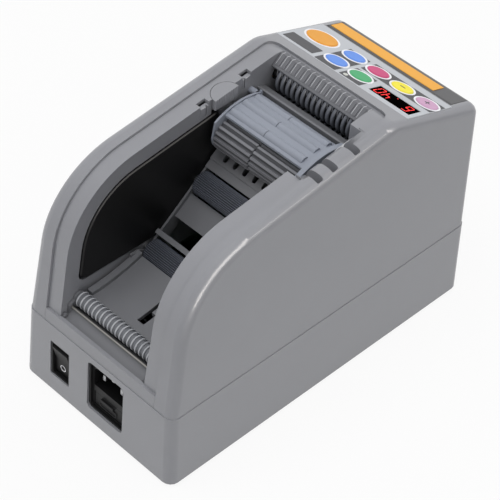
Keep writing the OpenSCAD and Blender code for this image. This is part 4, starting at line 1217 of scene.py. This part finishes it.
@dataclass
class ControlPanel(Assembly):
    """Panel sheet with its print, the keys, the lamp and the display.

    Attributes:
        slope: The panel's plane.
        print_t: Thickness of the print.
        print_r: Rounding of the fields' corners.
        border_t: Thickness of a key's border.
        border_w: Width of a key's border.
        key_gap: Gap between a key and its border.
        digit: Width and height of a digit.
        digit_pitch: Distance between digits.
        digit_gap: Extra distance in the middle of the display.
        digit_shift: How far the digits stand from the display's middle.
        segment_w: Width of a segment.
        segment_share: Share of its side that a segment fills.
        segment_r: Corner of a segment, as a share of its width.
        dot: Width of the point, as a share of a segment's.
        dot_r: Corner of the point, as a share of a segment's width.
        slant: Shift of a digit to the right for each unit of height.
        lean: Turn of the upright segments, in degrees.
        sign: Length and width of a sign's bar.
        sign_r: Rounding of its corners.
    """

    keys: ClassVar[tuple[str, ...]] = (
        "start_key", "near_blue_key", "far_blue_key", "green_key", "pink_key", "yellow_key", "mauve_key",
    )
    skins = {
        "panel_sheet": Edge.CRISP, **{key: Edge.FINE for key in keys}, "status_lamp": Edge.SOFT,
        "display": Edge.FINE,
    }
    patches: ClassVar[tuple[Patch, ...]] = (
        Patch("bare_field", -47.0, -24.0, 2.5, 12.4),
        Patch("blue_field", -20.8, -5.3, 0.6, 33.5),
        Patch("green_field", -2.5, 12.6, 1.0, 18.0),
        Patch("setting_field", -2.3, 48.9, 20.5, 35.0),
    )
    lit: ClassVar[tuple[str, ...]] = ("abcdef", "bcfg", "", "acdefg")
    sign_turns: ClassVar[dict[str, tuple[float, ...]]] = {"mauve_key": (0.0, 90.0), "yellow_key": (0.0,)}
    slope: Slope = field(init=False)
    print_t: float = 0.05 * MM
    print_r: float = 0.5 * MM
    border_t: float = 0.12 * MM
    border_w: float = 1.2 * MM
    key_gap: float = 0.12 * MM
    digit: Span = (3.4 * MM, 7.4 * MM)
    digit_pitch: float = 5.7 * MM
    digit_gap: float = 3.3 * MM
    digit_shift: float = -0.6 * MM
    segment_w: float = 0.56 * MM
    segment_share: float = 0.93
    segment_r: float = 0.45
    dot: float = 1.2
    dot_r: float = 0.4
    slant: float = 0.12
    lean: float = 6.8
    sign: Span = (3.6 * MM, 0.8 * MM)
    sign_r: float = 0.2 * MM

    def build(self) -> None:
        """Find the panel's plane, then dress the solids and add the print."""
        press_axis = self.shop.joint("start_key_press")["axis"]
        self.slope = Slope.of_sheet(self.shop.solid("panel_sheet"), press_axis)
        super().build()

    def trim(self) -> None:
        """Add the print, the borders of the keys, the digits and the signs."""
        for patch in self.patches:
            self.print_field(patch)
        for key in self.keys:
            self.border(key)
        self.digits()
        for key, turns in self.sign_turns.items():
            self.key_sign(key, turns)

    def print_field(self, patch: Patch) -> None:
        """Print one field on the sheet.

        Args:
            patch: The field.
        """
        size = ((patch.right - patch.left) * MM, (patch.far - patch.near) * MM)
        piece = plate(patch.name, size, self.print_r, self.print_t)
        where = self.slope.at((patch.left + patch.right) / 2 * MM, (patch.near + patch.far) / 2 * MM)
        self.shop.add(piece, where, "housing", "guard_plastic", "dark_print")

    def border(self, key: str) -> None:
        """Lay a pale border round a key.

        Args:
            key: Name of the key's solid.
        """
        middle, half = self.slope.top_of(self.shop.solid(key))
        grow = self.key_gap + self.border_w
        piece = oval_ring(f"{key}_border", (half.x + grow, half.y + grow), self.border_w, self.border_t)
        self.shop.add(piece, self.slope.at(*middle.xy), "housing", "gear_plastic", "pale_print")

    def segments(self) -> dict[float, bpy.types.Object]:
        """Model a lying and an upright segment of a digit.

        Returns:
            The segments, modelled along X, by their turn in degrees.
        """
        made = {}
        for turn, side in ((0.0, self.digit[0]), (90.0, self.digit[1] / 2)):
            size = (side * self.segment_share, self.segment_w)
            made[turn] = plate(f"bar_{turn:.0f}", size, self.segment_w * self.segment_r, self.print_t, 1)
        return made

    def digits(self) -> None:
        """Light the display's segments, upright for whoever stands at the outlet."""
        across, up = self.digit[0] / 2, self.digit[1] / 2
        places = {
            "a": (0.0, up, 0.0), "g": (0.0, 0.0, 0.0), "d": (0.0, -up, 0.0),
            "b": (across, up / 2, 90.0), "c": (across, -up / 2, 90.0),
            "f": (-across, up / 2, 90.0), "e": (-across, -up / 2, 90.0),
        }
        bars = self.segments()
        marks = []
        for i, letters in enumerate(self.lit):
            right = ((len(self.lit) - 1) / 2 - i) * self.digit_pitch
            right += math.copysign(self.digit_gap / 2, right)
            for letter in letters:
                x, y, turn = places[letter]
                spot = Matrix.Translation((right + x + self.slant * y, y, 0.0))
                turned = Matrix.Rotation(math.radians(turn - (self.lean if turn else 0.0)), 4, "Z")
                marks.append(stamp(bars[turn], spot @ turned))
        side = self.segment_w * self.dot
        point = plate("point", (side, side), self.segment_w * self.dot_r, self.print_t)
        marks.append(stamp(point, Matrix.Translation((0.0, -up, 0.0))))
        for spare in (*bars.values(), point):
            bpy.data.objects.remove(spare)
        middle, _ = self.slope.top_of(self.shop.solid("display"))
        place = self.slope.at(middle.x + self.digit_shift, middle.y, middle.z)
        where = place @ Matrix.Rotation(math.pi, 4, "Z")
        self.shop.add(join(marks, "display_digits"), where, "housing", "display_glass", "lit_red")

    def key_sign(self, key: str, turns: tuple[float, ...]) -> None:
        """Put a plus or a minus on a setting key.

        Args:
            key: Name of the key's solid.
            turns: Turns of the sign's bars, in degrees.
        """
        bar = plate(f"{key}_bar", self.sign, self.sign_r, self.print_t)
        marks = [stamp(bar, Matrix.Rotation(math.radians(turn), 4, "Z")) for turn in turns]
        bpy.data.objects.remove(bar)
        middle, _ = self.slope.top_of(self.shop.solid(key))
        piece = join(marks, f"{key}_sign")
        self.shop.add(piece, self.slope.at(*middle), key, self.shop.slot_of(key), "dark_print")


def front_face(solid: bpy.types.Object, below: float, facing: float = 0.8) -> Matrix:
    """Find the middle of the front faces of a solid's lower part.

    Args:
        solid: The solid.
        below: Height under which the middle of a face counts.
        facing: Least share of a face's normal that points forward.

    Returns:
        Transform that lays what is modelled on the origin flat on those faces.
    """
    faces = [f for f in solid.data.polygons if f.normal.dot(FORWARD) > facing and f.center.z < below]
    middle = sum((f.center * f.area for f in faces), Vector()) / sum(f.area for f in faces)
    normal = sum((f.normal * f.area for f in faces), Vector()).normalized()
    return basis(middle, ACROSS, normal.cross(ACROSS), normal)


@dataclass
class MainsInlet(Assembly):
    """Inlet with its fuse drawer, and the mains switch.

    Attributes:
        ring_r: Radius of the ring on the rocker.
        ring_w: Width of its line.
        ring_t: Thickness of its print.
    """

    skins = {
        "inlet_body": Edge.SOFT, "fuse_drawer": Edge.SOFT, "switch_frame": Edge.SOFT, "rocker": Edge.SOFT,
        "inlet_pins": Edge.FINE,
    }
    ring_r: float = 2.2 * MM
    ring_w: float = 0.5 * MM
    ring_t: float = 0.06 * MM

    def trim(self) -> None:
        """Mark the rocker's lower end."""
        low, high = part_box("rocker")
        ring = oval_ring("rocker_ring", (self.ring_r, self.ring_r), self.ring_w, self.ring_t)
        where = front_face(self.shop.solid("rocker"), (low[2] + high[2]) / 2)
        self.shop.add(ring, where, "rocker", "black_plastic", "pale_print")


def key_cap(name: str, red: int, green: int, blue: int) -> Moulding:
    """The smooth finish of a key, from its display colour."""
    return Moulding(name, srgb(red, green, blue), 0.4, 0.004 * MM, shine=0.15)


def printed(name: str, red: int, green: int, blue: int, grain: float = 0.004 * MM) -> Moulding:
    """The finish of print and film, from its display colour."""
    return Moulding(name, srgb(red, green, blue), 0.45, grain, 2600.0, shine=0.15)


def rubber(name: str, red: int, green: int, blue: int, gloss: float = 0.5) -> Moulding:
    """The finish of rubber with a powdery bloom, from its display colour."""
    return Moulding(name, srgb(red, green, blue), gloss, 0.01 * MM, 2400.0, mottle_scale=160.0,
                    mottle_shades=(0.88, 1.14), mottle_gloss=0.12, grain_gloss=0.0, octaves=(5.0, 2.0))


FINISHES = {
    "body_plastic": Moulding("moulded grey", srgb(131, 132, 137), coat=0.4),
    "floor_plastic": Moulding("dark moulded grey", srgb(107, 108, 112), 0.42),
    "black_plastic": Moulding("black moulding", srgb(20, 20, 21), 0.42, shine=0.2),
    "roller_rubber": rubber("roller rubber", 72, 75, 84),
    "holder_plastic": Moulding("blue grey moulding", srgb(133, 138, 149), 0.42),
    "silver_plastic": Moulding("silver grey moulding", srgb(150, 152, 157), 0.34),
    "steel": Metal("bright steel", srgb(190, 191, 194)),
    "gear_plastic": Moulding("natural white moulding", srgb(230, 229, 222), 0.4),
    "bush_brass": Metal("bush metal", srgb(190, 158, 96), 0.28),
    "sheet_film": printed("panel film", 184, 187, 192, 0.006 * MM),
    "guard_plastic": Moulding("guard plastic", srgb(74, 74, 76), 0.42),
    "strip_film": Moulding("orange film", srgb(230, 168, 74), 0.45, 0.004 * MM, shine=0.15),
    "key_orange": key_cap("orange key", 222, 156, 64),
    "key_blue": key_cap("blue key", 102, 144, 222),
    "key_green": key_cap("green key", 78, 164, 112),
    "key_pink": key_cap("pink key", 194, 78, 122),
    "key_yellow": key_cap("yellow key", 236, 222, 70),
    "key_mauve": key_cap("mauve key", 198, 158, 188),
    "lamp_lens": Moulding("lamp lens", srgb(196, 198, 192), 0.2),
    "display_glass": Moulding("display window", srgb(4, 3, 3), 0.3, 0.001 * MM, shine=0.0),
    "circuit_board": Board("circuit board", srgb(30, 98, 62)),
    "foot_rubber": rubber("foot rubber", 30, 30, 31, 0.6),
    "dark_print": printed("dark print", 84, 84, 87),
    "pale_print": printed("pale print", 232, 232, 236),
    "dull_steel": Metal("dull steel", srgb(150, 148, 144), 0.34),
    # The tray's darker grey is painted shade of its recess between the ledge and the rod.
    "tray_painted_shade": Moulding("tray moulding with painted shade", srgb(100, 101, 105), 0.42),
    # The comb's second colour is a painted highlight along one edge of each tongue.
    "comb_plastic": Toothed("comb moulding", srgb(97, 98, 103), srgb(204, 205, 209)),
    "lit_red": Glow("lit segments", srgb(255, 12, 10)),
}


@dataclass(frozen=True)
class Lamp:
    """A soft rectangular lamp.

    Attributes:
        name: Its name.
        place: Where it hangs, in metres.
        size: Its width and height, in metres.
        power: Its power in watts.
    """

    name: str
    place: Place
    size: Span
    power: float

    def hang(self, target: Vector) -> bpy.types.Object:
        """Hang the lamp.

        Args:
            target: The point that it faces.

        Returns:
            The lamp.
        """
        data = bpy.data.lights.new(self.name, "AREA")
        data.shape = "RECTANGLE"
        data.size, data.size_y = self.size
        data.energy = self.power
        made = linked(self.name, data)
        made.location = self.place
        made.rotation_euler = (target - Vector(self.place)).to_track_quat("-Z", "Y").to_euler()
        return made


@dataclass
class Studio:
    """Floor, light and camera.

    Attributes:
        azimuth: Camera's turn round the object, in degrees.
        elevation: Camera's height over the horizon, in degrees.
        roll: Camera's roll, in degrees.
        distance: From the camera to its target.
        target: Point at the middle of the picture.
        lens: Focal length in millimetres.
        sensor: Width of the sensor in millimetres.
        clip: Distance at which the camera begins to see.
        fill: Strength of the even fill light.
        soft: Lamps that light the object and don't show in gloss.
        streaks: Lamps that show in gloss alone.
        streak_colour: Their colour.
        card_place: Middle of a dark card, which draws a dark line beside a bright streak.
        card_size: Its width and height.
        card: Its finish.
        floor_size: Length of the floor's sides.
        floor_drop: How far the floor lies under the feet.
        floor_greys: Its darkest and its palest grey.
        floor_gloss: Its roughness.
        floor_scale: Its blotches to a metre.
        floor_white: Share of plain white that it shows over its own shading.
    """

    azimuth: float = 41.685
    elevation: float = 43.269
    roll: float = 5.07
    distance: float = 1.08154
    target: Vector = field(default_factory=lambda: Vector((3.628, -8.331, 68.35)) * MM)
    lens: float = 139.64
    sensor: float = 36.0
    clip: float = 0.01
    fill: float = 0.5
    soft: tuple[Lamp, ...] = (
        Lamp("key", (-0.9, -1.0, 1.5), (1.0, 1.0), 5.0),
        Lamp("right", (1.3, -0.9, 0.9), (0.8, 0.8), 2.0),
        Lamp("rear top", (0.2, 1.3, 1.4), (1.2, 0.5), 6.0),
        Lamp("top", (0.0, -0.3, 1.8), (1.2, 1.2), 15.0),
    )
    streaks: tuple[Lamp, ...] = (
        Lamp("rim streak", (1.27, 0.22, 0.86), (1.9, 0.65), 34.0),
        Lamp("curve streak", (1.25, -0.75, 0.4), (0.5, 0.5), 9.0),
    )
    streak_colour: Rgb = (1.0, 0.95, 0.9)
    card_place: Place = (0.86, 0.5, 0.17)
    card_size: Span = (1.3, 0.34)
    card: Moulding = Moulding("rim flag", srgb(40, 40, 42), 0.9)
    floor_size: float = 6.0
    floor_drop: float = 0.2 * MM
    floor_greys: Span = (0.71, 0.73)
    floor_gloss: float = 0.9
    floor_scale: float = 8.0
    floor_white: float = 0.9

    def stand_camera(self) -> None:
        """Stand the camera at the photograph's angle."""
        turn, rise, roll = (math.radians(v) for v in (self.azimuth, self.elevation, self.roll))
        back = Vector((math.sin(turn) * math.cos(rise), -math.cos(turn) * math.cos(rise), math.sin(rise)))
        right = Vector((math.cos(turn), math.sin(turn), 0.0))
        up = back.cross(right)
        across = math.cos(roll) * right + math.sin(roll) * up
        upward = math.cos(roll) * up - math.sin(roll) * right
        data = bpy.data.cameras.new("camera")
        data.lens = self.lens
        data.sensor_width = self.sensor
        data.clip_start = self.clip
        made = linked("camera", data)
        made.matrix_world = basis(self.target + back * self.distance, across, upward, back)
        bpy.context.scene.camera = made

    def light_world(self) -> None:
        """Even fill light, with a white background for the camera, in gloss and through glass."""
        world = bpy.data.worlds.new("studio")
        world.use_nodes = True
        sky = Nodes(world.node_tree, "ShaderNodeOutputWorld")
        even, white = (sky.node("ShaderNodeBackground", {}, {"Color": WHITE, "Strength": strength})
                       for strength in (self.fill, 1.0))
        sky.show(sky.swap(sky.seen(), even, white))
        bpy.context.scene.world = world

    def hang_lamps(self) -> None:
        """Hang the soft lamps and the streaks."""
        for lamp in self.soft:
            lamp.hang(self.target).visible_glossy = False
        for lamp in self.streaks:
            made = lamp.hang(self.target)
            made.data.color = self.streak_colour
            made.visible_diffuse = False

    def stand_card(self) -> None:
        """Stand the dark card where only gloss shows it."""
        card = flat(self.card.name, self.card_size)
        leave()
        facing = Vector((-self.card_place[0], -self.card_place[1], 0.0)).to_track_quat("Z", "Y")
        lay(card, Matrix.Translation(self.card_place) @ facing.to_matrix().to_4x4())
        dress(card, self.card.material())
        card.visible_camera = card.visible_diffuse = card.visible_transmission = card.visible_shadow = False

    def lay_floor(self) -> None:
        """Lay a pale floor that keeps the object's shadow, and shows white to the camera and in gloss."""
        floor = flat("floor", (self.floor_size, self.floor_size))
        leave()
        lay(floor, Matrix.Translation((0.0, 0.0, -self.floor_drop)))
        shader = Shader("floor")
        speck = shader.noise(shader.place(), self.floor_scale, detail=2.0)
        shader.set(Base_Color=shader.varied(speck, WHITE, self.floor_greys), Roughness=self.floor_gloss)
        white = shader.node("ShaderNodeEmission", {}, {})
        shader.show(shader.swap(shader.seen() * self.floor_white, shader.surface, white))
        dress(floor, shader.material)

    def build(self) -> None:
        """Set up the whole studio."""
        self.stand_camera()
        self.light_world()
        self.hang_lamps()
        self.stand_card()
        self.lay_floor()
        bpy.context.scene.view_settings.view_transform = "Standard"


def main() -> None:
    """Build the object's looks round its solids."""
    logging.basicConfig(level=logging.INFO, format="%(name)s: %(message)s")
    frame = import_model()
    shop = Workshop(frame, {slot: finish.material() for slot, finish in FINISHES.items()})
    kinds = (Housing, TapeBay, RollerHolder, FeedUnit, Cutter, ControlPanel, MainsInlet)
    for kind in kinds:
        kind(shop).build()
    dressed = {node for kind in kinds for node in kind.skins}
    for node in frame["nodes"]:
        if node not in dressed:
            shop.finish_solid(node)
    Studio().build()


if __name__ == "__main__":
    main()
